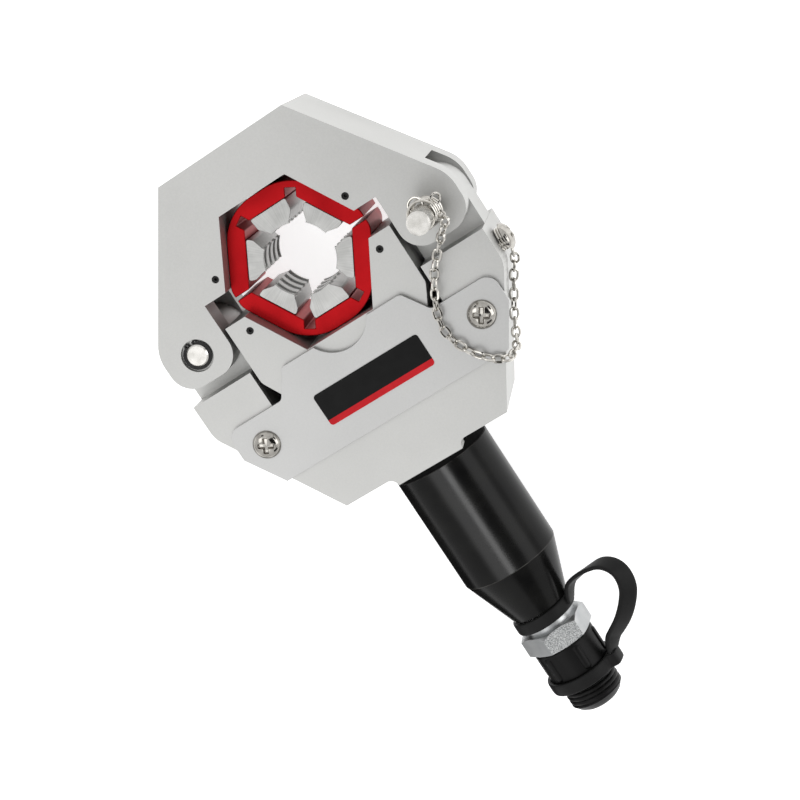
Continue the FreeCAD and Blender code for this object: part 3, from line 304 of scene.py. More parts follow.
def makeRedAnodised():
    # aluminium milled in steps of 0.5 mm, then anodised red: a deep, even red with a soft metal sheen, in
    # which the bath leaves faint clouds about 17 mm across
    material, tree, shader = newMaterial("redAnodised", 0.9, 0.36)
    place = addNode(tree, "TexCoord").outputs["Object"]
    cloud = addNode(tree, "TexNoise", {"Vector": place, "Scale": 1 / (16.7 * mm), "Detail": 4.0})
    colour = addNode(tree, "ValToRGB", {0: cloud.outputs[0]}, [(0.3, "#980A11"), (0.72, "#B01218")])
    grit = addNode(tree, "TexNoise", {"Vector": place, "Scale": 1 / (0.5 * mm), "Detail": 2.0})
    bump = addNode(tree, "Bump", {"Height": grit.outputs[0], "Strength": 0.1, "Distance": 0.05 * mm})
    tree.links.new(colour.outputs[0], shader.inputs["Base Color"])
    tree.links.new(bump.outputs[0], shader.inputs["Normal"])
    return material


# grinding lines: the radius in mm at which their spacing in mm holds, and their change with depth
dieGrind = {"radius": 22.0, "spacing": 0.4, "depthShare": 0.3}


def makeMachinedSteel():
    # hardened die steel, ground and tumbled: bright, with clouds of 7 mm and faint grinding lines that run
    # out from the bore; the real lines are finer than the picture shows, so they are drawn 0.4 mm apart
    material, tree, shader = newMaterial("machinedSteel", 1.0)
    place = addNode(tree, "TexCoord").outputs["Object"]
    cloud = addNode(tree, "TexNoise", {"Vector": place, "Scale": 1 / (7.14 * mm), "Detail": 4.0})
    axes = addNode(tree, "SeparateXYZ", {0: place})
    turn = addNode(tree, "Math", {0: axes.outputs["Y"], 1: axes.outputs["X"]}, operation="ARCTAN2")
    around = addNode(tree, "Math", {0: turn.outputs[0], 1: dieGrind["radius"] * mm}, operation="MULTIPLY")
    depth = addNode(tree, "Math", {0: axes.outputs["Z"], 1: dieGrind["depthShare"]}, operation="MULTIPLY")
    fan = addNode(tree, "CombineXYZ", {"X": around.outputs[0], "Z": depth.outputs[0]})
    fineness = 1 / (dieGrind["spacing"] * mm)
    lines = addNode(tree, "TexNoise", {"Vector": fan.outputs[0], "Scale": fineness, "Detail": 3.0})
    tone = addNode(tree, "Math", {0: cloud.outputs[0], 1: lines.outputs[0]}, operation="ADD")
    half = addNode(tree, "Math", {0: tone.outputs[0], 1: 0.5}, operation="MULTIPLY")
    colour = addNode(tree, "ValToRGB", {0: half.outputs[0]}, [(0.38, "#A4A4A2"), (0.62, "#BABAB8")])
    ground = addNode(tree, "MapRange", {"Value": lines.outputs[0], "To Min": 0.3, "To Max": 0.4})
    bump = addNode(tree, "Bump", {"Height": lines.outputs[0], "Strength": 0.09, "Distance": 0.06 * mm})
    tree.links.new(colour.outputs[0], shader.inputs["Base Color"])
    tree.links.new(ground.outputs["Result"], shader.inputs["Roughness"])
    tree.links.new(bump.outputs[0], shader.inputs["Normal"])
    return material


# barrel, painted black: radii and heights in mm of its turned profile, its broken edge, and where the painted
# shade on its neck, which stands for the shadow under the frame's lip, starts above the rim
barrelShape = {
    "bore": 18.0,
    "neck": 22.0,
    "neckTop": -72.0,
    "collar": 23.4,
    "collarTop": -98.0,
    "rim": -110.5,
    "radius": 24.0,
    "taper": -169.0,
    "end": -195.5,
    "endRadius": 14.6,
    "stubHole": 9.05,
    "stubEnd": -182.5,
    "port": 3.0,
    "chamberEnd": -160.0,
    "edge": 0.12,
    "neckShadeGap": 0.1,
}


def makeBlackPaint():
    # turned steel, sprayed satin black: a soft highlight along it, faint clouds of 11 mm, and a dark grey
    # line about 0.4 mm wide on the two turned edges, partly where the paint is thin and partly a painted
    # highlight of the edges catching light; the turning marks round the axis are finer than the picture
    # shows, so they are drawn 0.8 mm apart
    material, tree, shader = newMaterial("blackPaint", 0.0)
    place = addNode(tree, "TexCoord").outputs["Object"]
    cloud = addNode(tree, "TexNoise", {"Vector": place, "Scale": 1 / (11.1 * mm), "Detail": 5.0})
    paint = addNode(tree, "ValToRGB", {0: cloud.outputs[0]}, [(0.35, "#080808"), (0.7, "#0F0F0E")])
    colour = paint.outputs[0]
    height = addNode(tree, "SeparateXYZ", {0: place})
    chips = addNode(tree, "TexNoise", {"Vector": place, "Scale": 1 / (5 * mm), "Detail": 3.0})
    thin = addNode(tree, "MapRange", {"Value": chips.outputs[0], "From Min": 0.3, "From Max": 0.62})
    # the grey line on each turned edge is partly wear and partly a painted highlight of the edge catching
    # light
    for edge in (barrelShape["rim"], barrelShape["taper"]):
        above = addNode(tree, "Math", {0: height.outputs["Y"], 1: edge * mm}, operation="SUBTRACT")
        away = addNode(tree, "Math", {0: above.outputs[0]}, operation="ABSOLUTE")
        line = addNode(tree, "MapRange", {"Value": away.outputs[0], "From Min": 0.3 * mm,
                                          "From Max": 0.1 * mm})
        wearAndPaintedHighlight = addNode(tree, "Math", {0: line.outputs["Result"], 1: thin.outputs["Result"]},
                       operation="MULTIPLY")
        mix = addNode(tree, "Mix", {"Factor": wearAndPaintedHighlight.outputs[0]}, data_type="RGBA")
        tree.links.new(colour, mix.inputs[6])
        mix.inputs[7].default_value = linearColour("#343331")
        colour = mix.outputs[2]
    satin = addNode(tree, "MapRange", {"Value": cloud.outputs[0], "To Min": 0.19, "To Max": 0.27})
    rings = addNode(tree, "Mapping", {"Vector": place, "Scale": (0.02, 1, 0.02)})
    marks = addNode(tree, "TexNoise", {"Vector": rings.outputs[0], "Scale": 1 / (0.8 * mm), "Detail": 2.0})
    bump = addNode(tree, "Bump", {"Height": marks.outputs[0], "Strength": 0.1, "Distance": 0.04 * mm})
    tree.links.new(colour, shader.inputs["Base Color"])
    tree.links.new(satin.outputs["Result"], shader.inputs["Roughness"])
    tree.links.new(bump.outputs[0], shader.inputs["Normal"])
    shader.inputs["Specular IOR Level"].default_value = 0.13
    return material


def makePaintedNeckShade():
    # painted shade on the barrel's neck in the frame, which stands for the shadow under the frame's lip: matt
    # black, with streaks 2 mm wide
    material, tree, shader = newMaterial("paintedNeckShade", 0.0, 0.8)
    place = addNode(tree, "TexCoord").outputs["Object"]
    along = addNode(tree, "Mapping", {"Vector": place, "Scale": (1, 0.2, 1)})
    streaks = addNode(tree, "TexNoise", {"Vector": along.outputs[0], "Scale": 1 / (2 * mm)})
    colour = addNode(tree, "ValToRGB", {0: streaks.outputs[0]}, [(0.3, "#030303"), (0.7, "#0A0A0A")])
    tree.links.new(colour.outputs[0], shader.inputs["Base Color"])
    shader.inputs["Specular IOR Level"].default_value = 0.06
    return material


def makeBlackOxide():
    # steel, blackened in a hot salt bath and oiled: dull, almost black, mottled every 2.5 mm
    material, tree, shader = newMaterial("blackOxide", 0.6, 0.42)
    place = addNode(tree, "TexCoord").outputs["Object"]
    cloud = addNode(tree, "TexNoise", {"Vector": place, "Scale": 1 / (2.5 * mm), "Detail": 3.0})
    colour = addNode(tree, "ValToRGB", {0: cloud.outputs[0]}, [(0.3, "#141414"), (0.7, "#2A2A2A")])
    tree.links.new(colour.outputs[0], shader.inputs["Base Color"])
    return material


def makePolishedSteel(name, base, dark, roughness):
    # steel, ground and polished, or plated with nickel: mirror-like, with handling marks about 3 mm across
    material, tree, shader = newMaterial(name, 1.0)
    place = addNode(tree, "TexCoord").outputs["Object"]
    cloud = addNode(tree, "TexNoise", {"Vector": place, "Scale": 1 / (3.33 * mm), "Detail": 4.0})
    colour = addNode(tree, "ValToRGB", {0: cloud.outputs[0]}, [(0.3, dark), (0.65, base)])
    handled = addNode(tree, "MapRange", {"Value": cloud.outputs[0], "To Min": roughness * 0.6,
                                         "To Max": roughness * 1.5})
    tree.links.new(colour.outputs[0], shader.inputs["Base Color"])
    tree.links.new(handled.outputs["Result"], shader.inputs["Roughness"])
    return material


# the coupler's hexagon: degrees by which its front flat is turned towards +X, and its upper end in mm
hexagon = {"turn": 17, "top": -205.0}


def makeZincPlate():
    # steel hexagon bar, plated with zinc: smooth flats with clouds of 11 mm, and a coarse speckle of 0.5 mm
    # on the flat at the front, as rolling left it
    material, tree, shader = newMaterial("zincPlate", 1.0)
    place = addNode(tree, "TexCoord").outputs["Object"]
    speckle = addNode(tree, "TexNoise", {"Vector": place, "Scale": 1 / (0.5 * mm), "Detail": 3.0})
    coarse = addNode(tree, "ValToRGB", {0: speckle.outputs[0]},
                     [(0.38, "#8A8C8D"), (0.5, "#BCBEBE"), (0.62, "#E0E1E1")])
    cloud = addNode(tree, "TexNoise", {"Vector": place, "Scale": 1 / (11.1 * mm), "Detail": 3.0})
    fine = addNode(tree, "ValToRGB", {0: cloud.outputs[0]}, [(0.3, "#A0A2A3"), (0.7, "#BCBDBD")])
    facing = addNode(tree, "NewGeometry")
    turn = math.radians(hexagon["turn"])
    ahead = (math.sin(turn), 0, math.cos(turn))
    along = addNode(tree, "VectorMath", {0: facing.outputs["True Normal"], 1: ahead}, operation="DOT_PRODUCT")
    front = addNode(tree, "MapRange", {"Value": along.outputs["Value"], "From Min": 0.95, "From Max": 0.99})
    height = addNode(tree, "SeparateXYZ", {0: place})
    below = addNode(tree, "Math", {0: height.outputs["Y"], 1: hexagon["top"] * mm}, operation="LESS_THAN")
    rolled = addNode(tree, "Math", {0: front.outputs["Result"], 1: below.outputs[0]}, operation="MULTIPLY")
    mix = addNode(tree, "Mix", {"Factor": rolled.outputs[0]}, data_type="RGBA")
    tree.links.new(fine.outputs[0], mix.inputs[6])
    tree.links.new(coarse.outputs[0], mix.inputs[7])
    rough = addNode(tree, "MapRange", {"Value": speckle.outputs[0], "To Min": 0.24, "To Max": 0.42})
    relief = addNode(tree, "MapRange", {"Value": rolled.outputs[0], "To Min": 0.03, "To Max": 0.3})
    bump = addNode(tree, "Bump", {"Height": speckle.outputs[0], "Strength": relief.outputs["Result"],
                                  "Distance": 0.06 * mm})
    tree.links.new(mix.outputs[2], shader.inputs["Base Color"])
    tree.links.new(rough.outputs["Result"], shader.inputs["Roughness"])
    tree.links.new(bump.outputs[0], shader.inputs["Normal"])
    return material


def makeRubber(name, base, light, roughness):
    # black rubber or nylon, injection moulded: a dull bloom in patches of 14 mm, and the mould's fine skin,
    # which is drawn coarse, at 0.6 mm, so that it shows
    material, tree, shader = newMaterial(name, 0.0)
    place = addNode(tree, "TexCoord").outputs["Object"]
    cloud = addNode(tree, "TexNoise", {"Vector": place, "Scale": 1 / (14.3 * mm), "Detail": 4.0})
    colour = addNode(tree, "ValToRGB", {0: cloud.outputs[0]}, [(0.3, base), (0.75, light)])
    skin = addNode(tree, "TexNoise", {"Vector": place, "Scale": 1 / (0.6 * mm), "Detail": 3.0})
    bloom = addNode(tree, "MapRange", {"Value": cloud.outputs[0], "To Min": roughness * 0.85,
                                       "To Max": roughness * 1.15})
    bump = addNode(tree, "Bump", {"Height": skin.outputs[0], "Strength": 0.12, "Distance": 0.06 * mm})
    tree.links.new(colour.outputs[0], shader.inputs["Base Color"])
    tree.links.new(bloom.outputs["Result"], shader.inputs["Roughness"])
    tree.links.new(bump.outputs[0], shader.inputs["Normal"])
    shader.inputs["Specular IOR Level"].default_value = 0.15
    return material


blastedAluminium = makeBlastedAluminium("blastedAluminium", "#C0C0BE", "#B5B5B3")
coverAluminium = makeBlastedAluminium("coverAluminium", "#BDBDBC", "#B3B3B2")
redAnodised = makeRedAnodised()
machinedSteel = makeMachinedSteel()
blackPaint = makeBlackPaint()
blackOxide = makeBlackOxide()
polishedPin = makePolishedSteel("polishedPin", "#D8D6D2", "#C3C1BC", 0.22)
nickelPlate = makePolishedSteel("nickelPlate", "#B6B3AD", "#918E89", 0.12)
chainNickel = makePolishedSteel("chainNickel", "#D0CDC7", "#ABA8A2", 0.13)
zincPlate = makeZincPlate()
springSteel = makePolishedSteel("springSteel", "#A8A8A6", "#8A8A88", 0.3)
strapRubber = makeRubber("strapRubber", "#121212", "#1C1C1C", 0.5)
capNylon = makeRubber("capNylon", "#040404", "#0A0A0A", 0.4)
# painted shade for the barrel's neck under the frame's lip
paintedNeckShade = makePaintedNeckShade()
sealRubber = makeRubber("sealRubber", "#1A1A1A", "#242424", 0.5)
print("materials made:", len(bpy.data.materials))


# metal bodies: merged copies of the CAD solids with their edges broken by these widths in mm
edgeWidths = {
    "upper_jaw": 0.7,
    "lower_frame": 0.6,
    "pusher_block": 0.6,
    "front_cover_plate": 0.35,
    "holder": 0.45,
    "segment": 0.3,
    "coupler_nipple": 0.5,
}
for node in ("upper_jaw", "lower_frame", "pusher_block"):
    softEdged(node, blastedAluminium, edgeWidths[node])
softEdged("front_cover_plate", coverAluminium, edgeWidths["front_cover_plate"])
for holder in ("upper_die_holder", "lower_die_holder"):
    softEdged(holder, redAnodised, edgeWidths["holder"])
for segment in [node for node in frame["nodes"] if node.startswith("die_segment")]:
    softEdged(segment, machinedSteel, edgeWidths["segment"], segments=2)
softEdged("coupler_nipple", zincPlate, edgeWidths["coupler_nipple"], segments=2)
for node, material in {
    "hinge_pin": polishedPin,
    "lock_pin": polishedPin,
    "hinge_pin_clip": blackOxide,
    "jaw_grub_screws": blackOxide,
    "pusher_grub_screws": blackOxide,
    "pusher_bolt": blackOxide,
    "piston": polishedPin,
    "piston_seal": sealRubber,
    "rod_gland": machinedSteel,
    "coupler_poppet": machinedSteel,
}.items():
    dress(node, material)
print("metal bodies dressed")


def makeReturnSpring():
    # a copy of the CAD spring in spring steel, attached to no body
    spring = bpy.data.objects.new("returnSpringCoil", frame["nodes"]["return_spring"].data.copy())
    bpy.context.scene.collection.objects.link(spring)
    spring.data.materials.clear()
    spring.data.materials.append(springSteel)
    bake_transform(spring)
    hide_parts("return_spring")


makeReturnSpring()
print("return spring made")


# barrel with its crisp turned edges

def crispProfile(corners, edge):
    # each corner becomes a bevel of the edge's size, with a second loop three edges away on both sides
    corners = np.array(corners, float)
    after = np.roll(corners, -1, 0)
    ahead = (after - corners) / np.linalg.norm(after - corners, axis=1)[:, None]
    leaving = [corners + step * edge * ahead for step in (1, 3)]
    reaching = [after - step * edge * ahead for step in (3, 1)]
    profile = np.stack(leaving + reaching, 1).reshape(-1, 2)
    return np.vstack([profile, profile[:1]])


def makeBarrel(size):
    # profile turned about Y: bore, neck, collar, rim, cylinder, cone and the hole for the coupler
    corners = [
        (size["bore"], size["neckTop"]), (size["neck"], size["neckTop"]), (size["neck"], size["collarTop"]),
        (size["collar"], size["collarTop"]), (size["collar"], size["rim"]), (size["radius"], size["rim"]),
        (size["radius"], size["taper"]), (size["endRadius"], size["end"]), (size["stubHole"], size["end"]),
        (size["stubHole"], size["stubEnd"]), (size["port"], size["stubEnd"]),
        (size["port"], size["chamberEnd"]), (size["bore"], size["chamberEnd"]),
    ]
    profile = crispProfile(corners, size["edge"])
    barrel = turnedPiece("barrelTurned", profile, blackPaint, "head", steps=192, angle=12)
    barrel.data.materials.append(paintedNeckShade)
    # the neck's faces above the rim get painted shade, a matt black for the shadow under the frame's lip
    heights = np.array([face.center.y for face in barrel.data.polygons])
    inNeckShade = (heights > (size["rim"] + size["neckShadeGap"]) * mm).astype(np.int32)
    barrel.data.polygons.foreach_set("material_index", inNeckShade)
    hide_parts("cylinder_barrel")
    return barrel


barrelPiece = makeBarrel(barrelShape)
print("barrel made")


# pan head screws with a cross recess, in mm: wallSoft and endSoft round the recess's edges, recessSlope is
# the share by which its floor rises out to the arm's end, and skirt is the head's depth below its seat
screwHead = {
    "radius": 6.5,
    "height": 3.5,
    "skirt": 0.4,
    "shankRadius": 2.5,
    "shankLength": 10.0,
    "recess": 2.5,
    "recessSlope": 0.35,
    "arm": 3.5,
    "armHalf": 0.95,
    "wallSoft": 0.07,
    "endSoft": 0.12,
}
screwPlaces = {"coverRight": (56.6, -60.6, 29.0), "coverLeft": (-56.6, -60.6, 29.0),
               "chain": (79.7, -40.0, 6.5)}


def panHeadScrew(centre, axis, roll):
    # head: h(s) = H (1 - s^2.4)^0.62, less the recess where the cross |x| < w or |y| < w is inside the
    # arm's reach; roll turns it about its axis, in radians
    size = screwHead
    s = np.concatenate([np.linspace(0.02, 0.5, 26), np.linspace(0.52, 1.0, 30)])
    t = np.linspace(0, 2 * np.pi, 128, endpoint=False)
    radius = size["radius"] * np.repeat(s[:, None], len(t), 1)
    x = radius * np.cos(t)
    y = radius * np.sin(t)
    height = size["height"] * (1 - s[:, None] ** 2.4).clip(0) ** 0.62 * np.ones_like(x)
    near = np.minimum(np.abs(x), np.abs(y))
    reach = np.maximum(np.abs(x), np.abs(y))
    wall = 1 / (1 + np.exp((near - size["armHalf"]) / size["wallSoft"]))
    end = 1 / (1 + np.exp((reach - size["arm"]) / size["endSoft"]))
    floor = size["recess"] * (1 - size["recessSlope"] * reach / size["arm"])
    height = height - wall * end * floor
    shank = [(size["radius"], -size["skirt"]), (size["shankRadius"], -size["skirt"]),
             (size["shankRadius"], -size["shankLength"]), (0.02, -size["shankLength"])]
    lower = np.array(shank)
    x = np.vstack([x, lower[:, :1] * np.cos(t)])
    y = np.vstack([y, lower[:, :1] * np.sin(t)])
    height = np.vstack([height, np.repeat(lower[:, 1:], len(t), 1)])
    local = np.stack([x, y, height], -1).reshape(-1, 3) * mm
    ahead = Vector(axis).normalized()
    side = ahead.cross(Vector((0, 1, 0))).normalized()
    up = ahead.cross(side)
    basis = np.array([side, up, ahead])
    c, sn = math.cos(roll), math.sin(roll)
    spin = np.array([[c, sn, 0], [-sn, c, 0], [0, 0, 1]])
    points = local @ spin @ basis + np.array(centre) * mm
    return points, cappedFaces(len(s) + len(shank), len(t))


coverScrews = joined([
    panHeadScrew(screwPlaces["coverRight"], (0, 0, 1), -0.58),
    panHeadScrew(screwPlaces["coverLeft"], (0, 0, 1), -0.5),
])
piece = outwards(meshPiece("coverScrews", *coverScrews, nickelPlate, "head", angle=50))
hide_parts("cover_screws")
chainScrew = joined([panHeadScrew(screwPlaces["chain"], (1, 0, 0), 0.3)])
piece = outwards(meshPiece("chainScrew", *chainScrew, nickelPlate, "head", angle=50))
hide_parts("chain_screw")
print("screws made")


# coiled rings: about four and a half loose turns round the lock pin with three small rings, and about two
# and a half turns under the chain's screw; the mesh has perTurn points a turn and sides round the wire
coilMesh = {"perTurn": 40, "sides": 10}


def coil(centre, axis, radius, wire, turns=1.0, pitch=0.0, tilt=0.0):
    # helix: centre + R (cos a U + sin a V) + pitch a / 2 pi A, tilted by leaning A towards U
    axis = np.array(axis, float)
    u = np.cross(axis, (0.3, 1.0, 0.1))
    u /= np.linalg.norm(u)
    axis = axis + tilt * u
    axis /= np.linalg.norm(axis)
    v = np.cross(axis, u)
    u = np.cross(v, axis)
    a = np.linspace(0, 2 * np.pi * turns, int(coilMesh["perTurn"] * turns))
    rise = pitch * (a / (2 * np.pi) - turns / 2)
    path = radius * (np.cos(a)[:, None] * u + np.sin(a)[:, None] * v) + rise[:, None] * axis
    path = (path + np.array(centre)) * mm
    return sweptTube(path, wire * mm, sides=coilMesh["sides"], reference=axis, closed=False)


pinCoil = joined([
    coil((61.2, -10.6, 38.6), (0, 0, 1), radius=6.2, wire=0.58, turns=4.6, pitch=2.8, tilt=0.14),
    coil((68.2, -7.8, 39.5), (0.5, -0.5, 0.7), radius=2.6, wire=0.55),
    coil((60.2, -5.8, 41.6), (-0.2, 0.3, 0.9), radius=3.5, wire=0.55),
    coil((66.4, -14.2, 40.4), (0.6, 0.4, 0.7), radius=2.4, wire=0.5),
])
piece = outwards(meshPiece("lockPinCoil", *pinCoil, chainNickel, "lock_pin"))
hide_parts("lock_pin_ring")
anchorCoil = joined([
    coil((77.9, -40.0, 6.5), (1, 0, 0), radius=4.9, wire=0.62, turns=2.6, pitch=1.2, tilt=0.05),
])
piece = outwards(meshPiece("chainAnchorCoil", *anchorCoil, chainNickel, "head"))
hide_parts("chain_anchor_ring")
print("coiled rings made")


# chain of oval links, in mm: bulge below 1 fills out the oval's corners, and each link is turned from the
# one before by a quarter turn and up to sway more or less, in radians
chainLink = {"pitch": 4.35, "length": 6.4, "width": 4.6, "wire": 0.6, "bulge": 0.75, "firstRoll": 0.25,
             "sway": 0.3}
chainRoute = [
    (66.8, -17.8, 40.6), (62.0, -22.0, 37.1), (56.5, -27.0, 34.2), (49.5, -34.5, 32.2), (44.5, -42.5, 31.6),
    (40.5, -51.0, 31.6), (39.3, -59.0, 31.6), (41.5, -66.5, 31.6), (45.5, -73.5, 31.6), (50.5, -79.0, 31.2),
    (56.5, -83.5, 29.4), (60.2, -82.5, 16.0), (61.5, -77.5, 8.0), (65.0, -70.0, 3.0), (69.5, -62.5, 1.0),
    (74.5, -54.5, 1.5), (78.2, -50.5, 4.1), (79.0, -47.0, 6.5),
]


def splinePoints(route):
    # NURBS spline of order 3 with the route's points as its control points
    data = bpy.data.curves.new("routeSpline", "CURVE")
    data.dimensions = "3D"
    data.resolution_u = 24
    spline = data.splines.new("NURBS")
    spline.points.add(len(route) - 1)
    for point, place in zip(spline.points, route):
        point.co = (place[0] * mm, place[1] * mm, place[2] * mm, 1.0)
    spline.order_u = 3
    spline.use_endpoint_u = True
    holder = bpy.data.objects.new("routeSpline", data)
    mesh = bpy.data.meshes.new_from_object(holder)
    points = np.empty(len(mesh.vertices) * 3)
    mesh.vertices.foreach_get("co", points)
    bpy.data.objects.remove(holder)
    bpy.data.meshes.remove(mesh)
    return points.reshape(-1, 3)


def chainLinks(points):
    # link i sits at arc length i pitch: an oval (a cos t, b sin t) with cosine and sine raised to the bulge,
    # rolled by 90 degrees from its neighbour about the spline's tangent
    steps = np.linalg.norm(np.diff(points, axis=0), axis=1)
    along = np.concatenate([[0], np.cumsum(steps)])
    count = int(round(along[-1] / (chainLink["pitch"] * mm))) + 1
    places = np.linspace(0, along[-1], count)
    at = np.stack([np.interp(places, along, points[:, k]) for k in range(3)], -1)
    tangent = np.gradient(at, axis=0)
    tangent /= np.linalg.norm(tangent, axis=1)[:, None]
    a = (chainLink["length"] / 2 - chainLink["wire"]) * mm
    b = (chainLink["width"] / 2 - chainLink["wire"]) * mm
    t = np.linspace(0, 2 * np.pi, 26, endpoint=False)
    ovalX = a * filledOut(np.cos(t), chainLink["bulge"])
    ovalY = b * filledOut(np.sin(t), chainLink["bulge"])
    parts = []
    sway = np.random.default_rng(7).uniform(-chainLink["sway"], chainLink["sway"], count)
    for index in range(count):
        forward = tangent[index]
        side = np.cross((0, 0, 1), forward)
        side /= np.linalg.norm(side)
        up = np.cross(forward, side)
        roll = chainLink["firstRoll"] + index * math.pi / 2 + sway[index]
        across = math.cos(roll) * side + math.sin(roll) * up
        normal = np.cross(forward, across)
        path = at[index] + ovalX[:, None] * forward + ovalY[:, None] * across
        parts.append(sweptTube(path, chainLink["wire"] * mm, sides=8, reference=normal, closed=True))
    return joined(parts), count


chainMesh, linkCount = chainLinks(splinePoints(chainRoute))
piece = outwards(meshPiece("safetyChainLinks", *chainMesh, chainNickel, None))
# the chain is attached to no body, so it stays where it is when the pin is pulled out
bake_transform(piece)
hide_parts("safety_chain")
print("chain made:", linkCount, "links")


# rubber strap: neck ring, band and end ring, in a plane turned by 15 degrees to the front, in mm; a ring is
# its inner and outer radius and its lower and upper edge; ear, earHalf and earSoft are the height of the
# bump that joins the end ring to the band, its half angle in radians and how softly it ends
strapSize = {
    "turn": math.radians(15),
    "halfWidth": 4.5,
    "halfThick": 1.05,
    "neckRing": (13.1, 15.7, -202.2, -196.1),
    "neckLean": 0.05,
    "endRing": (15.25, 17.4, -236.3, -230.1),
    "ear": 3.9,
    "earHalf": 0.24,
    "earSoft": 0.018,
}
# the band's route: x, y and its twist there in degrees
strapRoute = [
    (15.2, -199.3, 0), (18.2, -192.6, -14), (24.0, -190.2, -20), (31.4, -188.8, -12), (39.2, -188.6, 6),
    (44.9, -194.6, 32), (44.2, -204.0, 48), (39.3, -211.2, 50), (33.0, -217.6, 48), (27.0, -221.6, 44),
    (22.2, -224.6, 38), (19.6, -229.9, 14),
]


def turnedToFront(points):
    # rotation about Y by the strap's turn
    c, s = math.cos(strapSize["turn"]), math.sin(strapSize["turn"])
    x, y, z = np.array(points, float).T
    return np.stack([x * c - z * s, y, x * s + z * c], -1)


def flatBand(route, halfWidth, halfThick):
    # band: path(s) + w c(a) W + h s(a) N, with the superellipse c = sgn cos |cos|^0.35, s = sgn sin
    # |sin|^0.6; W and N are Z and T x Z, turned about the path by the route's twist
    spline = splinePoints(route)
    path = spline * (1, 1, 0)
    tangent = np.gradient(path, axis=0)
    tangent /= np.linalg.norm(tangent, axis=1)[:, None]
    normal = np.cross(tangent, (0, 0, 1.0))
    a = np.linspace(0, 2 * np.pi, 28, endpoint=False)
    wide = halfWidth * mm * filledOut(np.cos(a), 0.35)
    thick = halfThick * mm * filledOut(np.sin(a), 0.6)
    turn = np.radians(spline[:, 2:] / mm)
    across = np.cos(turn) * np.array([0, 0, 1.0]) + np.sin(turn) * normal
    outward = np.cos(turn) * normal - np.sin(turn) * np.array([0, 0, 1.0])
    section = wide[None, :, None] * across[:, None] + thick[None, :, None] * outward[:, None]
    points = path[:, None] + section
    return turnedToFront(points.reshape(-1, 3)), cappedFaces(len(path), len(a))


def softRing(inner, outer, low, high, ear=0.0, lean=0.0):
    # ring: r = middle + half c(a), y = centre + half s(a), a superellipse with exponent 0.45; the ear
    # raises the outer side towards +X by a bump with soft ends, and the lean lifts the side towards +X
    a = np.linspace(0, 2 * np.pi, 32, endpoint=False)
    t = np.linspace(0, 2 * np.pi, 120, endpoint=False)
    halfR, halfY = (outer - inner) / 2, (high - low) / 2
    c = filledOut(np.cos(a), 0.45)
    s = filledOut(np.sin(a), 0.45)
    r = (inner + outer) / 2 + halfR * c[:, None] * np.ones(len(t))
    y = (low + high) / 2 + halfY * s[:, None] * np.ones(len(t))
    turn = np.abs((t + np.pi) % (2 * np.pi) - np.pi)
    bump = 1 / (1 + np.exp((turn - strapSize["earHalf"]) / strapSize["earSoft"]))
    r = r + ear * bump[None, :] * (c[:, None] > 0)
    points = np.stack([r * np.cos(t), y + lean * r * np.cos(t), r * np.sin(t)], -1).reshape(-1, 3) * mm
    return turnedToFront(points), ringFaces(len(a), len(t), closed=True)


band = flatBand(strapRoute, strapSize["halfWidth"], strapSize["halfThick"])
neckRing = softRing(*strapSize["neckRing"], lean=strapSize["neckLean"])
piece = outwards(meshPiece("capStrap", *joined([band, neckRing]), strapRubber, None, angle=60))
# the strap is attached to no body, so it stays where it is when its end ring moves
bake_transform(piece)
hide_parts("dust_cap_strap")
endRing = softRing(*strapSize["endRing"], ear=strapSize["ear"])
piece = outwards(meshPiece("capStrapRing", *joined([endRing]), strapRubber, "strap_ring", angle=60))
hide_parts("strap_end_ring")
print("strap made")


# dust cap with grip ribs and a threaded stub, in mm: ribTurn is in degrees and ribHalf in radians, and the
# thread fades in and out over threadFades at its lower and upper end
capSize = {
    "skirt": 15.2,
    "ribs": 6,
    "ribTurn": 4,
    "ribHeight": 0.9,
    "ribHalf": 0.12,
    "ribEnds": (-227.6, -218.4),
    "ribRound": 1.8,
    "thread": 13.4,
    "threadPitch": 2.3,
    "threadDepth": 0.75,
    "threadEnds": (-246.2, -237.9),
    "threadFades": (1.2, 0.5),
}


def dustCapProfile():
    # radius and height from the tip of the stub over the thread and the skirt to the inside
    tip = [(0.02, -252.0), (3.5, -251.8), (6.8, -251.2), (9.4, -250.2), (11.4, -248.8), (12.7, -247.0)]
    thread = [(capSize["thread"], y) for y in np.linspace(-246.2, -238.0, 70)]
    groove = [(12.9, -237.7), (12.9, -237.3), (14.3, -237.0), (15.2, -236.7)]
    skirt = [(capSize["skirt"], y) for y in np.linspace(-236.4, -216.2, 60)]
    lip = [(15.1, -215.7), (14.8, -215.4), (12.8, -215.4), (12.4, -215.8), (12.3, -217.0)]
    inside = [(12.3, -237.4), (11.9, -237.6), (0.02, -237.6)]
    return tip + thread + groove + skirt + lip + inside


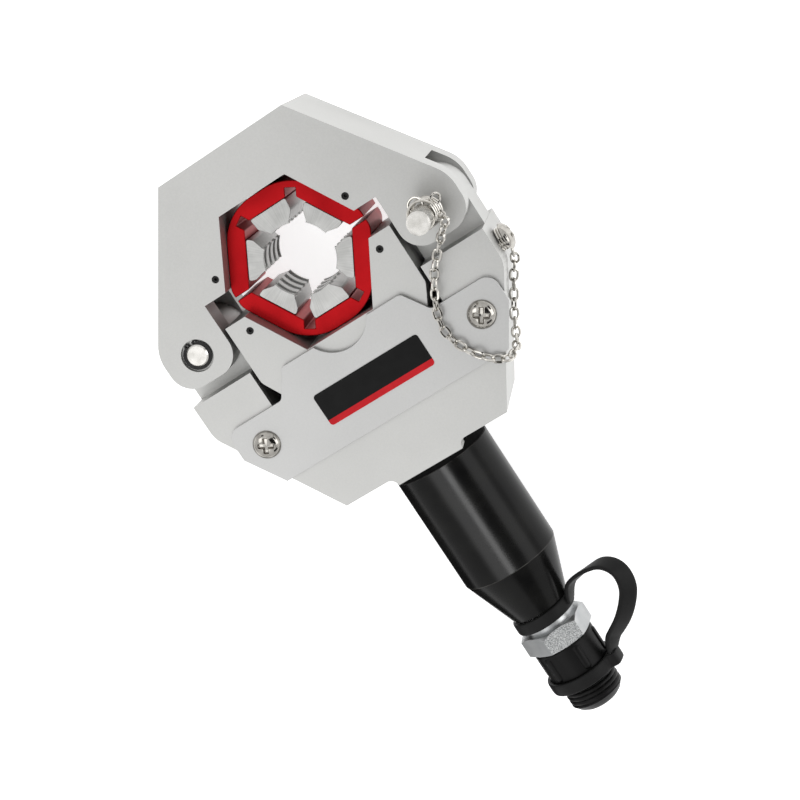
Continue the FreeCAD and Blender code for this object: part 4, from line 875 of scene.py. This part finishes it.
def capRelief(t, y, r):
    # ribs: height times a rounded bar every 60 degrees, with round ends; thread: a helical ridge, |sin|^0.8
    # of turn and height
    size = capSize
    outer = np.abs(r - size["skirt"]) < 0.01
    phase = ((t - math.radians(size["ribTurn"])) * size["ribs"] / (2 * np.pi) + 0.5) % 1.0 - 0.5
    across = phase * 2 * np.pi / size["ribs"] / size["ribHalf"]
    beyond = (np.maximum(size["ribEnds"][0] - y, y - size["ribEnds"][1]) / size["ribRound"]).clip(0)
    ribs = size["ribHeight"] * np.sqrt((1 - across ** 2 - beyond ** 2).clip(0)) * outer
    turns = (y / size["threadPitch"] - t / (2 * np.pi)) % 1.0
    ridge = np.sin(np.pi * turns) ** 0.8
    (low, high), (lowFade, highFade) = size["threadEnds"], size["threadFades"]
    fade = np.clip((y - low) / lowFade, 0, 1) * np.clip((high - y) / highFade, 0, 1)
    thread = size["threadDepth"] * (ridge - 1) * fade * (np.abs(r - size["thread"]) < 0.01)
    return ribs + thread


capProfile = dustCapProfile()
piece = turnedPiece("dustCapMoulded", capProfile, capNylon, "cap", steps=360, angle=40, offsets=capRelief)
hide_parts("dust_cap")
print("dust cap made")


# bare two-tone plate on the cover, in mm: foot and face are its levels, and the red band ends at stripe
plateSize = {"left": -26.6, "right": 28.0, "low": -68.5, "high": -52.9, "round": 1.6, "foot": 28.95,
             "face": 29.28, "edge": 0.06, "stripe": -65.6}


def roundedPlate(size):
    # outline: four quarter circles of the corner radius, carried from the foot to the face's broken edge
    corners = [(size["right"], size["high"], 0), (size["left"], size["high"], 1),
               (size["left"], size["low"], 2), (size["right"], size["low"], 3)]
    outline = []
    for x, y, quarter in corners:
        a = np.linspace(0, np.pi / 2, 9) + quarter * np.pi / 2
        cx = x - math.copysign(size["round"], x)
        cy = (size["high"] - size["round"]) if quarter < 2 else (size["low"] + size["round"])
        outline.append(np.stack([cx + size["round"] * np.cos(a), cy + size["round"] * np.sin(a)], -1))
    flat = np.vstack(outline)
    count = len(flat)
    inward = flat.mean(0) - flat
    inward /= np.linalg.norm(inward, axis=1)[:, None]
    levels = [(0.0, size["foot"]), (0.0, size["face"] - size["edge"]), (size["edge"], size["face"])]
    rows = [np.column_stack([flat + inward * shrink, np.full(count, z)]) for shrink, z in levels]
    return np.vstack(rows) * mm, cappedFaces(len(levels), count)


def makePlatePaint():
    # thin aluminium plate, printed with gloss enamel: black with one red band, mottled every 5 mm by so
    # little that it looks even
    material, tree, shader = newMaterial("platePaint", 0.0, 0.3)
    place = addNode(tree, "TexCoord").outputs["Object"]
    split = addNode(tree, "SeparateXYZ", {0: place})
    below = addNode(tree, "Math", {0: split.outputs["Y"], 1: plateSize["stripe"] * mm}, operation="LESS_THAN")
    cloud = addNode(tree, "TexNoise", {"Vector": place, "Scale": 1 / (5 * mm), "Detail": 3.0})
    black = addNode(tree, "ValToRGB", {0: cloud.outputs[0]}, [(0.3, "#0A0A0A"), (0.7, "#111111")])
    red = addNode(tree, "ValToRGB", {0: cloud.outputs[0]}, [(0.3, "#BE1A23"), (0.7, "#CC2029")])
    mix = addNode(tree, "Mix", {"Factor": below.outputs[0]}, data_type="RGBA")
    tree.links.new(black.outputs[0], mix.inputs[6])
    tree.links.new(red.outputs[0], mix.inputs[7])
    tree.links.new(mix.outputs[2], shader.inputs["Base Color"])
    shader.inputs["Specular IOR Level"].default_value = 0.1
    return material


plateMesh = joined([roundedPlate(plateSize)])
piece = outwards(meshPiece("barePlate", *plateMesh, makePlatePaint(), "head", angle=30))
print("plate made")


# white table, studio cards and lamps: the table lies tableGap below the head's back, in mm, and both glows
# are strengths of white light
studio = {"tableHeight": -27.0, "tableGap": 0.2, "tableHalf": 3000.0, "tableGlow": 0.75, "worldGlow": 0.66}


def seenRays(tree):
    # 1 for the rays that see the white background: from the camera, off a glossy surface and through glass
    rays = addNode(tree, "LightPath")
    seen = addNode(tree, "Math", {0: rays.outputs["Is Camera Ray"], 1: rays.outputs["Is Glossy Ray"]},
                   operation="MAXIMUM")
    through = addNode(tree, "Math", {0: seen.outputs[0], 1: rays.outputs["Is Transmission Ray"]},
                      operation="MAXIMUM")
    return through.outputs[0]


def makeTable():
    # laminated board, matt white: without structure, so that it reads as a plain studio floor
    data = bpy.data.meshes.new("whiteTable")
    half, z = studio["tableHalf"] * mm, (studio["tableHeight"] - studio["tableGap"]) * mm
    corners = [(-half, -half, z), (half, -half, z), (half, half, z), (-half, half, z)]
    data.from_pydata(corners, [], [(0, 1, 2, 3)])
    table = bpy.data.objects.new("whiteTable", data)
    bpy.context.scene.collection.objects.link(table)
    material, tree, shader = newMaterial("whiteTable", 0.0, 0.7)
    shader.inputs["Base Color"].default_value = linearColour("#F2F2F2")
    lift = addNode(tree, "Math", {0: seenRays(tree), 1: studio["tableGlow"]}, operation="MULTIPLY")
    shader.inputs["Emission Color"].default_value = (1, 1, 1, 1)
    tree.links.new(lift.outputs[0], shader.inputs["Emission Strength"])
    data.materials.append(material)


def aimed(place, target):
    # axes at the place: -Z looks at the target, and the long side, Y, runs along the head's own Y
    back = (Vector(place) - Vector(target)).normalized()
    side = Vector((0, 1, 0)).cross(back).normalized()
    axes = Matrix((side, back.cross(side), back)).transposed().to_4x4()
    return Matrix.Translation(place) @ axes


def areaLamp(name, place, target, size, power, lit=None):
    # size: across and along the object; lit: the only pieces that the lamp reaches, where it spares others
    data = bpy.data.lights.new(name, "AREA")
    data.shape = "RECTANGLE"
    data.size, data.size_y = size
    data.energy = power
    lamp = bpy.data.objects.new(name, data)
    bpy.context.scene.collection.objects.link(lamp)
    lamp.matrix_world = aimed(place, target)
    if lit:
        reached = bpy.data.collections.new(name + "Reach")
        for piece in lit:
            reached.objects.link(piece)
        lamp.light_linking.receiver_collection = reached


def darkCard(name, place, target, size):
    # a black card that only reflections see, so that the metal has dark streaks as in a real studio
    data = bpy.data.meshes.new(name)
    w, h = size[0] / 2, size[1] / 2
    data.from_pydata([(-w, -h, 0), (w, -h, 0), (w, h, 0), (-w, h, 0)], [], [(0, 1, 2, 3)])
    data.transform(aimed(place, target))
    card = bpy.data.objects.new(name, data)
    bpy.context.scene.collection.objects.link(card)
    material, _, shader = newMaterial(name, 0.0, 0.9)
    shader.inputs["Base Color"].default_value = linearColour("#101010")
    data.materials.append(material)
    card.visible_camera = False
    card.visible_shadow = False
    card.visible_diffuse = False


def makeWorld():
    # even white light, fainter for the rays that light the object than for those that see the background
    world = bpy.data.worlds.new("studioWorld")
    world.use_nodes = True
    bpy.context.scene.world = world
    tree = world.node_tree
    background = tree.nodes["Background"]
    background.inputs["Color"].default_value = (1, 1, 1, 1)
    glow = {"Value": seenRays(tree), "To Min": studio["worldGlow"], "To Max": 1.0}
    strength = addNode(tree, "MapRange", glow)
    tree.links.new(strength.outputs["Result"], background.inputs["Strength"])


makeWorld()
makeTable()
areaLamp("keyLamp", place=(-0.5, 0.55, 0.9), target=(0, -0.05, 0), size=(0.5, 0.5), power=1.3)
areaLamp("topLamp", place=(-0.4, -0.35, 0.95), target=(0, -0.05, 0), size=(0.5, 0.5), power=1.0)
areaLamp("fillLamp", place=(0.8, -0.3, 0.5), target=(0, -0.08, 0), size=(0.5, 0.7), power=2.1)
areaLamp("barrelLamp", place=(0.035, -0.30, 0.62), target=(0, -0.30, 0), size=(0.14, 0.34), power=2.1,
         lit=[barrelPiece])
areaLamp("barrelGlow", place=(-0.2, -0.30, 0.62), target=(0, -0.30, 0), size=(0.3, 0.34), power=0.8,
         lit=[barrelPiece])
darkCard("darkCardBarrel", place=(0.30, -0.12, 0.587), target=(0, -0.12, 0.097), size=(0.42, 0.54))
darkCard("darkCardRight", place=(0.6, 0.02, 0.36), target=(0.05, -0.05, 0.03), size=(0.2, 0.3))
darkCard("darkCardLow", place=(0.15, -0.75, 0.4), target=(0.03, -0.08, 0.03), size=(0.4, 0.25))
darkCard("darkCardTop", place=(-0.1, 0.6, 0.4), target=(0.0, -0.05, 0.03), size=(0.2, 0.2))
darkCard("darkCardLeft", place=(-0.15, -0.19, -0.0262), target=(-0.15, -0.19, -1.0), size=(0.22, 0.2))
bpy.context.scene.view_settings.view_transform = "Standard"
print("studio made")
